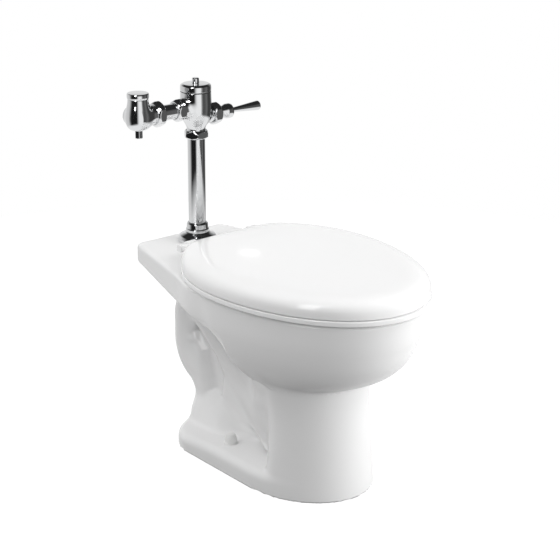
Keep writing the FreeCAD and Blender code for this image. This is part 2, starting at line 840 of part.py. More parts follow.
def make_bowl():
    """The china, in the parts that are cast apart and joined before firing."""
    china = cut("china", make_bowl_outside(), make_bowl_hollows())
    reach = deck_back_y + s.rim_front
    wide = 2 * reach
    rim_low = s.rim_height - s.top_wall - s.rim_skirt_drop
    rim_back_y = s.opening_mid_y + s.opening_rear + s.rim_skirt + s.china_wall
    sump_back_y = s.sump_mid_y + s.sump_rear

    rim = block("rim_space", (wide, reach + rim_back_y, s.rim_height), (-reach, -reach, rim_low))
    deck = block("deck_space", (wide, reach, s.rim_height), (-reach, rim_back_y, rim_low))
    middle = block("middle_space", (wide, wide, rim_low - waist_height), (-reach, -reach, waist_height))
    basin = cut("basin_space", middle, under_trap_top(reach))
    pedestal = block("pedestal_space", (wide, reach + sump_back_y, waist_height), (-reach, -reach, 0))
    rear = block("rear_space", (wide, reach, rim_low), (-reach, sump_back_y, 0))
    trapway = cut("trapway_space", rear, basin)

    spaces = {"rim": rim, "deck": deck, "basin": basin, "pedestal": pedestal, "trapway": trapway}
    for name, space in spaces.items():
        casting = doc.addObject("Part::Common", "bowl_" + name)
        casting.Base = china
        casting.Tool = space
        keep(casting, "bowl_" + name)


# Floor bolt covers


def make_bolt_caps():
    """A retaining washer and a domed cap over each floor bolt."""
    washers = []
    caps = []
    cap_inner_r = s.bolt_cap_r - s.bolt_cap_wall
    inner_top = s.bolt_cap_height - s.bolt_cap_wall
    for side, name in ((-1, "left"), (1, "right")):
        bolt_x = side * s.bolt_spacing / 2
        washers.append(turned(f"bolt_cap_washer_{name}", [
            (s.bolt_hole_r, 0), (s.bolt_washer_r, 0),
            (s.bolt_washer_r, s.bolt_washer_thick), (s.bolt_hole_r, s.bolt_washer_thick),
        ], (bolt_x, 0, s.foot_height)))
        caps.append(turned(f"bolt_cap_{name}", [
            (cap_inner_r, 0), (s.bolt_cap_r, 0), (s.bolt_cap_r, s.bolt_cap_straight),
            (s.bolt_cap_shoulder_r, s.bolt_cap_height - s.bolt_cap_shoulder),
            (s.bolt_cap_flat_r, s.bolt_cap_height), (0, s.bolt_cap_height), (0, inner_top),
            (s.bolt_cap_flat_r, inner_top), (cap_inner_r, s.bolt_cap_straight),
        ], (bolt_x, 0, s.foot_height + s.bolt_washer_thick)))
    group("bolt_cap_washers", washers)
    group("bolt_caps", caps)


# Seat, lid and hinge

seat_bottom = s.rim_height + s.seat_lift
seat_top = seat_bottom + s.seat_thick
lid_bottom = seat_top + s.lid_gap
ear_inner_x = s.hinge_half_spacing - s.post_width / 2 - s.touch_gap - s.ear_width
ear_outer_x = s.hinge_half_spacing + s.post_width / 2 + s.touch_gap
pin_start_x = ear_inner_x
pin_length = ear_outer_x + s.ear_width - ear_inner_x


def lid_outline(inset, height):
    """Outline of the lid, drawn in by an inset."""
    return oval(lid_half_width - inset, s.rim_mid_y, lid_front - inset, lid_rear - inset,
                height, s.lid_rear_square)


def ears(name, start_x, arm_z):
    """A pair of hinge ears with arms that reach forward, and the bore for the pins."""
    shape = None
    for side in (-1, 1):
        left_x = start_x if side > 0 else -start_x - s.ear_width
        arm = Part.makeBox(s.ear_width, s.ear_reach, s.ear_arm_thick,
                           Vector(left_x, hinge_y - s.ear_reach, arm_z))
        barrel = Part.makeCylinder(s.ear_r, s.ear_width, Vector(left_x, hinge_y, hinge_z), Vector(1, 0, 0))
        pair = arm.fuse(barrel)
        shape = pair if shape is None else shape.fuse(pair)
    return carved(name, shape)


def pin_bores(name):
    """Bore of the hinge pins through a pair of ears."""
    reach = 2 * (ear_outer_x + s.ear_width)
    return rod(name, s.pin_r + s.run_gap, reach, (-reach / 2, hinge_y, hinge_z), RIGHT)


def make_seat():
    """The seat ring with its hinge ears, and four bumpers under it."""
    ring = raised(lid_outline(s.seat_inset, seat_bottom), s.seat_thick)
    hole = raised(oval(s.seat_hole_half_width, s.opening_mid_y, s.seat_hole_front, s.seat_hole_rear,
                       seat_bottom - s.seat_thick), 3 * s.seat_thick)
    ring = carved("seat_board", ring.cut(hole))
    ear = ears("seat_ears", ear_inner_x, seat_top - s.ear_arm_thick)
    blank = fused("seat_board_and_ears", [ring, ear])
    keep(cut("seat_ring", blank, pin_bores("seat_pin_bores")), "seat_ring")

    bumpers = []
    spots = (("front", s.seat_bumper_front_x, s.seat_bumper_front_y),
             ("rear", s.seat_bumper_rear_x, s.seat_bumper_rear_y))
    for where, x, y in spots:
        for side, name in ((-1, "left"), (1, "right")):
            corner = (side * x - s.seat_bumper_width / 2, y - s.seat_bumper_length / 2,
                      s.rim_height + s.touch_gap)
            size = (s.seat_bumper_width, s.seat_bumper_length, s.seat_lift - s.touch_gap)
            bumpers.append(block(f"seat_bumper_{where}_{name}", size, corner))
    group("seat_bumpers", bumpers)


def make_lid():
    """The domed hollow lid with its hinge ears, and two bumpers inside it."""
    top_round = s.lid_thick - s.lid_side
    sections = [lid_outline(0.0, lid_bottom)]
    for share_in, share_up in LID_STEPS:
        height = lid_bottom + s.lid_side + share_up * top_round
        sections.append(lid_outline(share_in * top_round, height))
    shell = Part.makeLoft(sections, True, False)
    roof_z = lid_bottom + s.lid_thick - s.lid_roof
    hollow = raised(lid_outline(s.lid_wall, lid_bottom - s.lid_gap), roof_z - lid_bottom + s.lid_gap)
    boss_z = seat_top + s.touch_gap + s.lid_bumper_thick
    for side in (-1, 1):
        boss = Part.makeCylinder(s.lid_bumper_r, roof_z + s.lid_roof / 2 - boss_z,
                                 Vector(side * s.lid_bumper_x, s.lid_bumper_y, boss_z))
        hollow = hollow.cut(boss)
    cover = carved("lid_shell", shell.cut(hollow))
    ear = ears("lid_ears", ear_outer_x, lid_bottom + s.touch_gap)
    clear = carved("lid_ear_trim", hollow)
    trimmed = cut("lid_ears_outside", ear, clear)
    blank = fused("lid_shell_and_ears", [cover, trimmed])
    keep(cut("lid", blank, pin_bores("lid_pin_bores")), "lid")
    group("lid_bumpers", [
        rod(f"lid_bumper_{name}", s.lid_bumper_r, s.lid_bumper_thick,
            (side * s.lid_bumper_x, s.lid_bumper_y, seat_top + s.touch_gap))
        for side, name in ((-1, "left"), (1, "right"))
    ])


def make_hinge():
    """Two posts on the deck, the pins in them, and the bolts that hold them down."""
    pins, bolts, washers, nuts = [], [], [], []
    for side, name in ((-1, "left"), (1, "right")):
        x = side * s.hinge_half_spacing
        left_x = x - s.post_width / 2
        flange = rod(f"post_flange_{name}", s.post_flange_r, s.post_flange_thick,
                     (x, hinge_y, s.rim_height))
        upright = block(f"post_upright_{name}", (s.post_width, 2 * s.post_r, hinge_z - s.rim_height),
                        (left_x, hinge_y - s.post_r, s.rim_height))
        barrel = rod(f"post_barrel_{name}", s.post_r, s.post_width, (left_x, hinge_y, hinge_z), RIGHT)
        pin_hole = rod(f"post_pin_hole_{name}", s.pin_r + s.run_gap, 2 * s.post_width,
                       (left_x - s.post_width / 2, hinge_y, hinge_z), RIGHT)
        bolt_hole = rod(f"post_bolt_hole_{name}", s.seat_bolt_r + s.thread_gap, s.seat_bolt_depth,
                        (x, hinge_y, s.rim_height))
        post = cut(f"hinge_post_{name}", fused(f"post_body_{name}", [flange, upright, barrel]),
                   fused(f"post_holes_{name}", [pin_hole, bolt_hole]))
        keep(post, f"hinge_post_{name}")

        pin_x = pin_start_x if side > 0 else -pin_start_x - pin_length
        pins.append(rod(f"hinge_pin_{name}", s.pin_r, pin_length, (pin_x, hinge_y, hinge_z), RIGHT))
        bolt_low = spot_face_z - s.washer_thick - s.seat_bolt_tail
        bolt_top = s.rim_height + s.seat_bolt_depth - s.touch_gap
        bolts.append(rod(f"seat_bolt_{name}", s.seat_bolt_r, bolt_top - bolt_low, (x, hinge_y, bolt_low)))
        bore_r = s.seat_bolt_r + s.thread_gap
        washers.append(turned(f"seat_bolt_washer_{name}", [
            (bore_r, 0), (s.washer_r, 0), (s.washer_r, s.washer_thick), (bore_r, s.washer_thick),
        ], (x, hinge_y, spot_face_z - s.washer_thick)))
        nut_bar = hexagon(f"seat_nut_bar_{name}", s.seat_nut_flats, s.seat_nut_height)
        nut_bore = rod(f"seat_nut_bore_{name}", bore_r, s.seat_nut_height)
        nut = cut(f"seat_bolt_nut_{name}", nut_bar, nut_bore)
        nuts.append(place(nut, (x, hinge_y, spot_face_z - s.washer_thick - s.seat_nut_height)))
    group("hinge_pins", pins)
    group("seat_bolts", bolts)
    group("seat_bolt_washers", washers)
    group("seat_bolt_nuts", nuts)


# Spud and flush tube

spud_bore_r = s.tube_r + s.touch_gap
spud_r = spud_bore_r + s.spud_wall
china_under_top = s.rim_height - s.top_wall


def make_spud():
    """The threaded spud in the china, its rubber, lock nut and cover, and the tube's slip joint."""
    bushing_low = china_under_top - s.bushing_flange_thick
    spud_low = bushing_low - s.spud_flange_thick
    spud_top = s.rim_height + s.spud_top
    keep(turned("spud", [
        (spud_bore_r, 0), (s.spud_flange_r, 0), (s.spud_flange_r, s.spud_flange_thick),
        (spud_r, s.spud_flange_thick), (spud_r, spud_top - spud_low), (spud_bore_r, spud_top - spud_low),
    ], (0, s.spud_y, spud_low)), "spud")

    bush_in = spud_r + s.thread_gap
    bush_out = bush_in + s.bushing_wall
    bush_high = s.bushing_flange_thick + s.top_wall
    keep(turned("spud_bushing", [
        (bush_in, 0), (s.spud_flange_r, 0), (s.spud_flange_r, s.bushing_flange_thick),
        (bush_out, s.bushing_flange_thick), (bush_out, bush_high), (bush_in, bush_high),
    ], (0, s.spud_y, bushing_low)), "spud_bushing")

    keep(turned("spud_washer", [
        (bush_in, 0), (s.spud_washer_r, 0), (s.spud_washer_r, s.spud_washer_thick),
        (bush_in, s.spud_washer_thick),
    ], (0, s.spud_y, s.rim_height)), "spud_washer")

    nut_corner_r = s.lock_nut_flats / math.sqrt(3)
    hex_piece("spud_lock_nut", [
        (bush_in, 0), (nut_corner_r, 0), (nut_corner_r, s.lock_nut_height - s.spud_wall),
        (s.lock_nut_flats / 2, s.lock_nut_height), (bush_in, s.lock_nut_height),
    ], s.lock_nut_flats, s.lock_nut_height, (0, s.spud_y, s.rim_height + s.spud_washer_thick))

    wall = s.cover_wall
    shoulder = s.spud_washer_thick + s.lock_nut_height
    throat_r = spud_r + s.thread_gap
    rise_r = s.cover_r - s.cover_height / 4
    keep(turned("spud_cover", [
        (s.cover_r - wall, 0), (s.cover_r, 0), (s.cover_r, shoulder / 2),
        (rise_r, shoulder + wall / 2), (throat_r + 2 * wall, s.cover_height - wall),
        (throat_r + wall, s.cover_height), (throat_r, s.cover_height),
        (throat_r, s.cover_height - wall), (rise_r - wall, shoulder + s.touch_gap),
        (s.cover_r - wall, shoulder / 2),
    ], (0, s.spud_y, s.rim_height)), "spud_cover")

    nut_low = s.rim_height + s.cover_height + s.touch_gap
    to_spud_top = spud_top - nut_low
    gasket_low = spud_top + s.thread_gap
    lip_low = to_spud_top + s.thread_gap + s.slip_gasket_height + s.slip_ring_height
    inside_r = spud_r + s.thread_gap
    nut_top_r = inside_r + s.spud_wall
    keep(turned("spud_nut", [
        (inside_r, 0), (s.spud_nut_r, 0), (s.spud_nut_r, lip_low / 4), (nut_top_r, lip_low),
        (spud_bore_r + s.spud_wall, lip_low + s.nut_lip), (spud_bore_r, lip_low + s.nut_lip),
        (spud_bore_r, lip_low), (inside_r, lip_low),
    ], (0, s.spud_y, nut_low)), "spud_nut")

    ring_in = s.tube_r + s.thread_gap
    keep(turned("slip_gasket", [
        (ring_in, 0), (spud_r, 0), (spud_r, s.slip_gasket_height), (ring_in, s.slip_gasket_height),
    ], (0, s.spud_y, gasket_low)), "slip_gasket")
    keep(turned("slip_ring", [
        (ring_in, 0), (spud_r, 0), (spud_r, s.slip_ring_height), (ring_in, s.slip_ring_height),
    ], (0, s.spud_y, gasket_low + s.slip_gasket_height)), "slip_ring")


def make_flush_tube():
    """The flush tube, the vacuum breaker in its top and the nut that holds both to the valve."""
    tube_low = s.rim_height + s.tube_bottom
    tube_top = valve_bottom - s.breaker_flange
    length = tube_top - tube_low
    bore = s.tube_r - s.tube_wall
    keep(turned("flush_tube", [
        (bore, 0), (s.tube_r, 0), (s.tube_r, length - s.tube_flange_thick),
        (s.tube_flange_r, length - s.tube_flange_thick), (s.tube_flange_r, length), (bore, length),
    ], (0, s.spud_y, tube_low)), "flush_tube")

    sleeve_r = bore - s.touch_gap
    bore_r = sleeve_r - s.breaker_wall
    taper = s.breaker_length / 4
    keep(turned("vacuum_breaker", [
        (bore_r / 2, 0), (bore_r / 2 + s.breaker_wall, 0), (sleeve_r, taper), (sleeve_r, s.breaker_length),
        (s.tube_flange_r, s.breaker_length), (s.tube_flange_r, s.breaker_length + s.breaker_flange),
        (bore_r, s.breaker_length + s.breaker_flange), (bore_r, taper),
    ], (0, s.spud_y, tube_top - s.breaker_length)), "vacuum_breaker")

    lip = s.nut_lip
    seat = s.thread_gap + s.tube_flange_thick + s.breaker_flange
    height = lip + seat + s.nipple_length - s.touch_gap
    thread_r = s.nipple_r + s.thread_gap
    corner_r = nut_corner(s.tube_nut_flats)
    hex_piece("tube_nut", [
        (s.tube_r + s.touch_gap, 0), (s.tube_nut_flats / 2, 0), (corner_r, lip), (corner_r, height - lip),
        (s.tube_nut_flats / 2, height), (thread_r, height), (thread_r, lip), (s.tube_r + s.touch_gap, lip),
    ], s.tube_nut_flats, height, (0, s.spud_y, tube_top - s.tube_flange_thick - s.thread_gap - lip))


# Flush valve

inlet_height = valve_bottom + s.inlet_z
handle_height = valve_bottom + s.handle_z
chamber_z = valve_bottom + s.chamber_floor
valve_top = valve_bottom + s.valve_height
bush_r = s.plunger_r + s.run_gap + s.bush_wall
piston_low = chamber_z + s.main_seat_thick + s.touch_gap + s.seat_washer_thick


def make_valve_body():
    """The chromed body with its inlet boss to the left and handle boss to the right."""
    shell = turned("valve_shell", [
        (0, 0), (s.nipple_r, 0), (s.nipple_r, s.nipple_length), (s.valve_neck_r, s.nipple_length),
        (s.valve_r, s.nipple_length + s.cone_height), (s.valve_r, s.valve_height), (0, s.valve_height),
    ], (0, s.spud_y, valve_bottom))
    inlet_boss = rod("inlet_boss", s.inlet_boss_r, s.inlet_reach, (0, s.spud_y, inlet_height), LEFT)
    handle_boss = rod("handle_boss", s.handle_boss_r, s.handle_reach, (0, s.spud_y, handle_height), RIGHT)
    outside = fused("valve_outside", [shell, inlet_boss, handle_boss])

    outlet = rod("valve_outlet_bore", s.outlet_bore_r, s.chamber_floor, (0, s.spud_y, valve_bottom))
    chamber = rod("valve_chamber", s.valve_bore_r, s.valve_height - s.chamber_floor,
                  (0, s.spud_y, chamber_z))
    inlet = rod("valve_inlet_bore", s.inlet_bore_r, s.inlet_reach, (0, s.spud_y, inlet_height), LEFT)
    socket_x = s.inlet_reach - s.inlet_socket_depth
    socket = rod("tail_socket", s.tail_r + s.thread_gap, s.inlet_socket_depth,
                 (-socket_x, s.spud_y, inlet_height), LEFT)
    bush_hole = rod("plunger_bush_hole", bush_r, s.handle_reach, (0, s.spud_y, handle_height), RIGHT)
    pocket = rod("spring_pocket_bore", s.spring_pocket_r, s.spring_pocket,
                 (s.handle_reach - s.spring_pocket, s.spud_y, handle_height), RIGHT)
    inside = fused("valve_inside", [outlet, chamber, inlet, socket, bush_hole, pocket])
    keep(cut("valve_body", outside, inside), "valve_body")


def make_piston():
    """The main seat in the body, and the piston with its ring, washer and tilting relief stem."""
    at = (0, s.spud_y, chamber_z)
    keep(turned("main_seat", [
        (s.outlet_bore_r, 0), (s.main_seat_r, 0), (s.main_seat_r, s.main_seat_thick),
        (s.outlet_bore_r, s.main_seat_thick),
    ], at), "main_seat")
    keep(turned("piston_seat_washer", [
        (s.stem_hole_flare, 0), (s.piston_skirt_r, 0), (s.piston_skirt_r, s.seat_washer_thick),
        (s.stem_hole_flare, s.seat_washer_thick),
    ], (0, s.spud_y, piston_low - s.seat_washer_thick)), "piston_seat_washer")

    collar_r = s.valve_bore_r - s.piston_gap
    groove_r = collar_r - s.piston_groove_depth
    collar_low = s.piston_height - s.piston_collar
    groove_low = collar_low + (s.piston_collar - s.piston_groove) / 2
    recess_low = s.piston_height - s.piston_recess
    keep(turned("piston", [
        (s.stem_hole_flare, 0), (s.piston_skirt_r, 0), (s.piston_skirt_r, collar_low),
        (collar_r, collar_low), (collar_r, groove_low), (groove_r, groove_low),
        (groove_r, groove_low + s.piston_groove),
        (collar_r, groove_low + s.piston_groove), (collar_r, s.piston_height),
        (s.piston_recess_r, s.piston_height), (s.piston_recess_r, recess_low), (s.stem_hole_r, recess_low),
    ], (0, s.spud_y, piston_low)), "piston")
    ring_in = groove_r + s.thread_gap
    ring_out = s.valve_bore_r - s.run_gap
    ring_high = s.piston_groove - 2 * s.thread_gap
    keep(turned("piston_ring", [
        (ring_in, 0), (ring_out, 0), (ring_out, ring_high), (ring_in, ring_high),
    ], (0, s.spud_y, piston_low + groove_low + s.thread_gap)), "piston_ring")

    head_r = s.piston_recess_r - 2 * s.plunger_r / 3
    rest = s.stem_length
    slope = (head_r - s.stem_r) / 4
    head_top = rest + 2 * slope + s.run_gap
    keep(turned("relief_stem", [
        (0, 0), (s.stem_r, 0), (s.stem_r, rest), (head_r, rest + slope), (head_r, head_top), (0, head_top),
    ], (0, s.spud_y, piston_low + recess_low + s.thread_gap - rest)), "relief_stem")


def make_valve_cap():
    """The cap with its gasket, and the screw in it that limits the piston's lift."""
    gasket_in = s.valve_bore_r + s.touch_gap
    gasket_out = s.valve_r - s.touch_gap
    keep(turned("cap_gasket", [
        (gasket_in, 0), (gasket_out, 0), (gasket_out, s.cap_gasket_thick), (gasket_in, s.cap_gasket_thick),
    ], (0, s.spud_y, valve_top)), "cap_gasket")

    bore = s.regulator_r + s.run_gap
    spigot = s.cap_spigot + s.cap_gasket_thick
    top = spigot + s.cap_height
    edge = s.cap_height / 4
    keep(turned("valve_cap", [
        (bore, 0), (s.valve_bore_r - s.thread_gap, 0), (s.valve_bore_r - s.thread_gap, spigot),
        (s.valve_r, spigot), (s.valve_r, top - 2 * edge), (s.valve_r - edge / 2, top - edge),
        (s.valve_r - 3 * edge / 2, top), (bore, top),
    ], (0, s.spud_y, valve_top - s.cap_spigot)), "valve_cap")

    head_low = top + s.touch_gap
    bevel = s.regulator_head_r - s.regulator_r
    keep(turned("regulating_screw", [
        (0, 0), (s.regulator_r, 0), (s.regulator_r, head_low), (s.regulator_head_r, head_low),
        (s.regulator_head_r, head_low + s.regulator_head - bevel),
        (s.regulator_r, head_low + s.regulator_head), (0, head_low + s.regulator_head),
    ], (0, s.spud_y, valve_top - s.cap_spigot)), "regulating_screw")


# Handle

disc_x = s.handle_reach + s.handle_gasket_thick + s.socket_cavity - s.touch_gap - s.lever_disc
head_end_x = disc_x - s.touch_gap
plunger_start_x = s.stem_r + s.touch_gap
socket_x = s.handle_reach + s.handle_gasket_thick


def make_handle():
    """The lever in its flared socket, the nut that holds them, and the plunger with bush and spring."""
    out = (s.spud_y, handle_height)
    bush_start = s.outlet_bore_r + s.touch_gap
    bush_length = s.handle_reach - s.spring_pocket - bush_start
    keep(turned("plunger_bush", [
        (s.plunger_r + s.run_gap, 0), (bush_r - s.run_gap, 0), (bush_r - s.run_gap, bush_length),
        (s.plunger_r + s.run_gap, bush_length),
    ], (bush_start, *out), RIGHT), "plunger_bush")

    length = head_end_x - plunger_start_x
    keep(turned("plunger", [
        (0, 0), (s.plunger_r, 0), (s.plunger_r, length - s.plunger_head),
        (s.plunger_head_r, length - s.plunger_head), (s.plunger_head_r, length), (0, length),
    ], (plunger_start_x, *out), RIGHT), "plunger")

    spring_start = s.handle_reach - s.spring_pocket + s.touch_gap
    spring_length = head_end_x - s.plunger_head - s.touch_gap - spring_start
    keep(turned("plunger_spring", [
        (s.spring_r - s.spring_wire_r, 0), (s.spring_r + s.spring_wire_r, 0),
        (s.spring_r + s.spring_wire_r, spring_length), (s.spring_r - s.spring_wire_r, spring_length),
    ], (spring_start, *out), RIGHT), "plunger_spring")

    gasket_in = s.spring_pocket_r + s.touch_gap
    keep(turned("handle_gasket", [
        (gasket_in, 0), (s.socket_flange_r, 0), (s.socket_flange_r, s.handle_gasket_thick),
        (gasket_in, s.handle_gasket_thick),
    ], (s.handle_reach, *out), RIGHT), "handle_gasket")

    throat_r = s.socket_neck_r - s.socket_wall
    step = s.socket_shoulder + s.nut_lip + s.touch_gap
    keep(turned("handle_socket", [
        (s.socket_cavity_r, 0), (s.socket_flange_r, 0), (s.socket_flange_r, s.socket_shoulder),
        (s.socket_neck_r, s.socket_shoulder), (s.socket_neck_r, step + s.nut_lip),
        (s.socket_mouth_r, s.socket_length - s.nut_lip), (s.socket_mouth_r, s.socket_length),
        (s.socket_mouth_r - s.socket_wall, s.socket_length), (throat_r, s.socket_cavity),
        (s.socket_cavity_r, s.socket_cavity),
    ], (socket_x, *out), RIGHT), "handle_socket")

    thread_r = s.handle_boss_r + s.thread_gap
    inner = s.handle_nut_back + s.handle_gasket_thick + s.socket_shoulder + s.thread_gap
    height = inner + s.nut_lip
    corner_r = nut_corner(s.handle_nut_flats)
    hex_piece("handle_nut", [
        (thread_r, 0), (s.handle_nut_flats / 2, 0), (corner_r, s.nut_lip), (corner_r, inner),
        (s.handle_nut_flats / 2 - s.nut_lip, height), (s.socket_neck_r + s.touch_gap, height),
        (s.socket_neck_r + s.touch_gap, inner), (thread_r, inner),
    ], s.handle_nut_flats, height, (s.handle_reach - s.handle_nut_back, *out), RIGHT)

    neck = s.lever_disc + s.lever_neck
    tip = s.lever_length - s.lever_tip_r / 2
    keep(turned("handle_lever", [
        (0, 0), (s.lever_disc_r, 0), (s.lever_disc_r, s.lever_disc), (s.lever_root_r, s.lever_disc),
        (s.lever_root_r, neck), (s.lever_tip_r, tip), (s.lever_end_r, s.lever_length),
        (0, s.lever_length),
    ], (disc_x, *out), RIGHT), "handle_lever")


# Tailpiece and control stop

stop_at = (s.stop_x, s.spud_y)
stop_bottom = inlet_height - s.stop_drop
stop_top = stop_bottom + s.stop_height


def make_tailpiece():
    """The slip tailpiece between stop and valve, with its O-ring, nuts and gasket."""
    start = s.inlet_reach - s.inlet_socket_depth + s.thread_gap
    length = s.tail_end - start
    bore = s.tail_r - s.tail_wall
    groove_r = s.tail_r - s.oring_depth
    groove_end = s.oring_inset + s.oring_width
    left = (s.spud_y, inlet_height)
    keep(turned("tailpiece", [
        (bore, 0), (s.tail_r, 0), (s.tail_r, s.oring_inset), (groove_r, s.oring_inset),
        (groove_r, groove_end), (s.tail_r, groove_end), (s.tail_r, length - s.tail_flange),
        (s.tail_flange_r, length - s.tail_flange), (s.tail_flange_r, length), (bore, length),
    ], (-start, *left), LEFT), "tailpiece")
    ring_in = groove_r + s.run_gap
    ring_out = s.tail_r + s.run_gap
    ring_high = s.oring_width - 2 * s.run_gap
    keep(turned("tailpiece_oring", [
        (ring_in, 0), (ring_out, 0), (ring_out, ring_high), (ring_in, ring_high),
    ], (-(start + s.oring_inset + s.run_gap), *left), LEFT), "tailpiece_oring")

    thread_r = s.inlet_boss_r + s.thread_gap
    slide_r = s.tail_r + s.touch_gap
    thread_long = s.tail_nut_length - s.tail_nut_lip
    corner_r = nut_corner(s.tail_nut_flats)
    hex_piece("tailpiece_nut", [
        (thread_r, 0), (s.tail_nut_flats / 2, 0), (corner_r, s.nut_lip),
        (corner_r, s.tail_nut_length - s.nut_lip), (s.tail_nut_flats / 2, s.tail_nut_length),
        (slide_r, s.tail_nut_length), (slide_r, thread_long), (thread_r, thread_long),
    ], s.tail_nut_flats, s.tail_nut_length, (-(s.inlet_reach - thread_long + s.thread_gap), *left), LEFT)

    keep(turned("tail_gasket", [
        (bore, 0), (s.tail_flange_r, 0), (s.tail_flange_r, s.tail_gasket_thick),
        (bore, s.tail_gasket_thick),
    ], (-s.tail_end, *left), LEFT), "tail_gasket")

    stop_thread_r = s.stop_nipple_r + s.thread_gap
    corner_r = nut_corner(s.stop_nut_flats)
    nut_start = s.tail_end - s.tail_flange - s.nut_lip - s.thread_gap
    hex_piece("stop_nut", [
        (slide_r, 0), (s.stop_nut_flats / 2, 0), (corner_r, s.nut_lip),
        (corner_r, s.stop_nut_length - s.nut_lip), (s.stop_nut_flats / 2, s.stop_nut_length),
        (stop_thread_r, s.stop_nut_length), (stop_thread_r, s.nut_lip), (slide_r, s.nut_lip),
    ], s.stop_nut_flats, s.stop_nut_length, (-nut_start, *left), LEFT)


def make_stop():
    """The control stop: body, top cap, screw from below and the plug that it moves."""
    high = s.stop_height
    shell = turned("stop_shell", [
        (0, 0), (s.stop_foot_r, 0), (s.stop_bore_r, s.stop_floor / 4),
        (s.stop_belly_r, s.stop_floor), (s.stop_belly_r, high / 2), (s.stop_top_r, high), (0, high),
    ], (*stop_at, stop_bottom))
    nipple_end = -s.stop_x - s.tail_end - s.tail_gasket_thick
    nipple = rod("stop_nipple", s.stop_nipple_r, nipple_end, (*stop_at, inlet_height), RIGHT)
    supply = rod("supply_boss", s.supply_boss_r, s.supply_reach, (*stop_at, inlet_height), BACK)
    outside = fused("stop_outside", [shell, nipple, supply])
    chamber = rod("stop_chamber", s.stop_bore_r, high - s.stop_floor,
                  (*stop_at, stop_bottom + s.stop_floor))
    screw_hole = rod("stop_screw_hole", s.stop_screw_r + s.run_gap, s.stop_floor, (*stop_at, stop_bottom))
    out_port = rod("stop_out_port", s.stop_port_r, nipple_end, (*stop_at, inlet_height), RIGHT)
    in_port = rod("stop_in_port", s.stop_port_r, s.supply_reach, (*stop_at, inlet_height), BACK)
    thread = rod("supply_thread", s.supply_bore_r, s.supply_depth,
                 (s.stop_x, s.spud_y + s.supply_reach - s.supply_depth, inlet_height), BACK)
    inside = fused("stop_inside", [chamber, screw_hole, out_port, in_port, thread])
    keep(cut("stop_body", outside, inside), "stop_body")

    spigot_r = s.stop_bore_r - s.thread_gap
    bevel = s.stop_cap_height / 6
    cap_top = s.stop_cap_spigot + s.stop_cap_height
    keep(turned("stop_cap", [
        (0, 0), (spigot_r, 0), (spigot_r, s.stop_cap_spigot), (s.stop_top_r, s.stop_cap_spigot),
        (s.stop_top_r, cap_top - bevel), (s.stop_top_r - bevel, cap_top), (0, cap_top),
    ], (*stop_at, stop_top - s.stop_cap_spigot)), "stop_cap")

    plug_hole_r = s.stop_screw_r + s.run_gap
    plug_r = s.stop_bore_r - s.run_gap
    plug_low = s.stop_height - s.stop_cap_spigot - s.touch_gap - s.stop_plug_height
    keep(turned("stop_plug", [
        (plug_hole_r, 0), (plug_r, 0), (plug_r, s.stop_plug_height), (plug_hole_r, s.stop_plug_height),
    ], (*stop_at, stop_bottom + plug_low)), "stop_plug")
    keep(turned("stop_packing", [
        (plug_hole_r, 0), (spigot_r, 0), (spigot_r, s.stop_packing), (plug_hole_r, s.stop_packing),
    ], (*stop_at, stop_bottom + s.stop_floor)), "stop_packing")

    shaft_top = s.stop_screw_head + s.touch_gap + plug_low + s.stop_plug_height - s.touch_gap
    shaft = rod("stop_screw_shaft", s.stop_screw_r, shaft_top)
    head = hexagon("stop_screw_hex", s.stop_screw_flats, s.stop_screw_head)
    screw = fused("stop_screw", [shaft, head])
    keep(place(screw, (*stop_at, stop_bottom - s.touch_gap - s.stop_screw_head)), "stop_screw")


make_bowl()
make_bolt_caps()
make_seat()
make_lid()
make_hinge()
make_spud()
make_flush_tube()
make_valve_body()
make_piston()
make_valve_cap()
make_handle()
make_tailpiece()
make_stop()
doc.recompute()

for thing in doc.Objects:
    if "Invalid" in thing.State or "Error" in thing.State:
        raise RuntimeError(f"{thing.Label} did not compute: {thing.State}")
for piece in nodes:
    if piece.Shape.isNull() or not piece.Shape.isValid() or not piece.Shape.Solids:
        raise RuntimeError(f"{piece.Label} has no valid solid")

os.makedirs("parts", exist_ok=True)
for piece in nodes:
    piece.Shape.exportStep(os.path.join("parts", piece.Label + ".step"))
    print(piece.Label, len(piece.Shape.Solids), round(piece.Shape.Volume / 1000.0, 2), "cm3")
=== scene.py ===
"""The look of a floor-standing flush-valve toilet, built around its CAD frame."""
import json
import logging
import math
from collections.abc import Callable, Sequence
from dataclasses import dataclass, field
from enum import Enum

import bpy
import numpy as np
from mathutils import Matrix, Vector


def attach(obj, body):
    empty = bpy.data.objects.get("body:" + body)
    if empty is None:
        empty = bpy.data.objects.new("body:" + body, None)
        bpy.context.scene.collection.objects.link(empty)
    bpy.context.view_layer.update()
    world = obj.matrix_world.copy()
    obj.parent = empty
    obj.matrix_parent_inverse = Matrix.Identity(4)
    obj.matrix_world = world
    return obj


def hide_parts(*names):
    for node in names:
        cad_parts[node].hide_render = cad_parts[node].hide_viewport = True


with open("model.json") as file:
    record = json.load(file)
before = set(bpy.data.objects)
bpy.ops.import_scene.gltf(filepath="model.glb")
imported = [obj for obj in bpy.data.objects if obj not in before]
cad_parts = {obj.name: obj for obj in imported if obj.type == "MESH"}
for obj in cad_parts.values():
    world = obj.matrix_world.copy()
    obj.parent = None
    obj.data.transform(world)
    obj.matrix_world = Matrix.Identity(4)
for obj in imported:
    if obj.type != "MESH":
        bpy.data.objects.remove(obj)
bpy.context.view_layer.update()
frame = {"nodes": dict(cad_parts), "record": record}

LOG = logging.getLogger("toilet")
MM = 0.001

# Heights of the rim, the handle and the inlet, and the valve's place along, in millimetres.
RIM_Z = 356.0
HANDLE_Z = 590.0
INLET_Z = 607.0
VALVE_Y = 194.0

Array = np.ndarray
Face = tuple[int, ...]
Colour = tuple[float, float, float, float]
Spot = tuple[float, float]
Point = tuple[float, float, float]
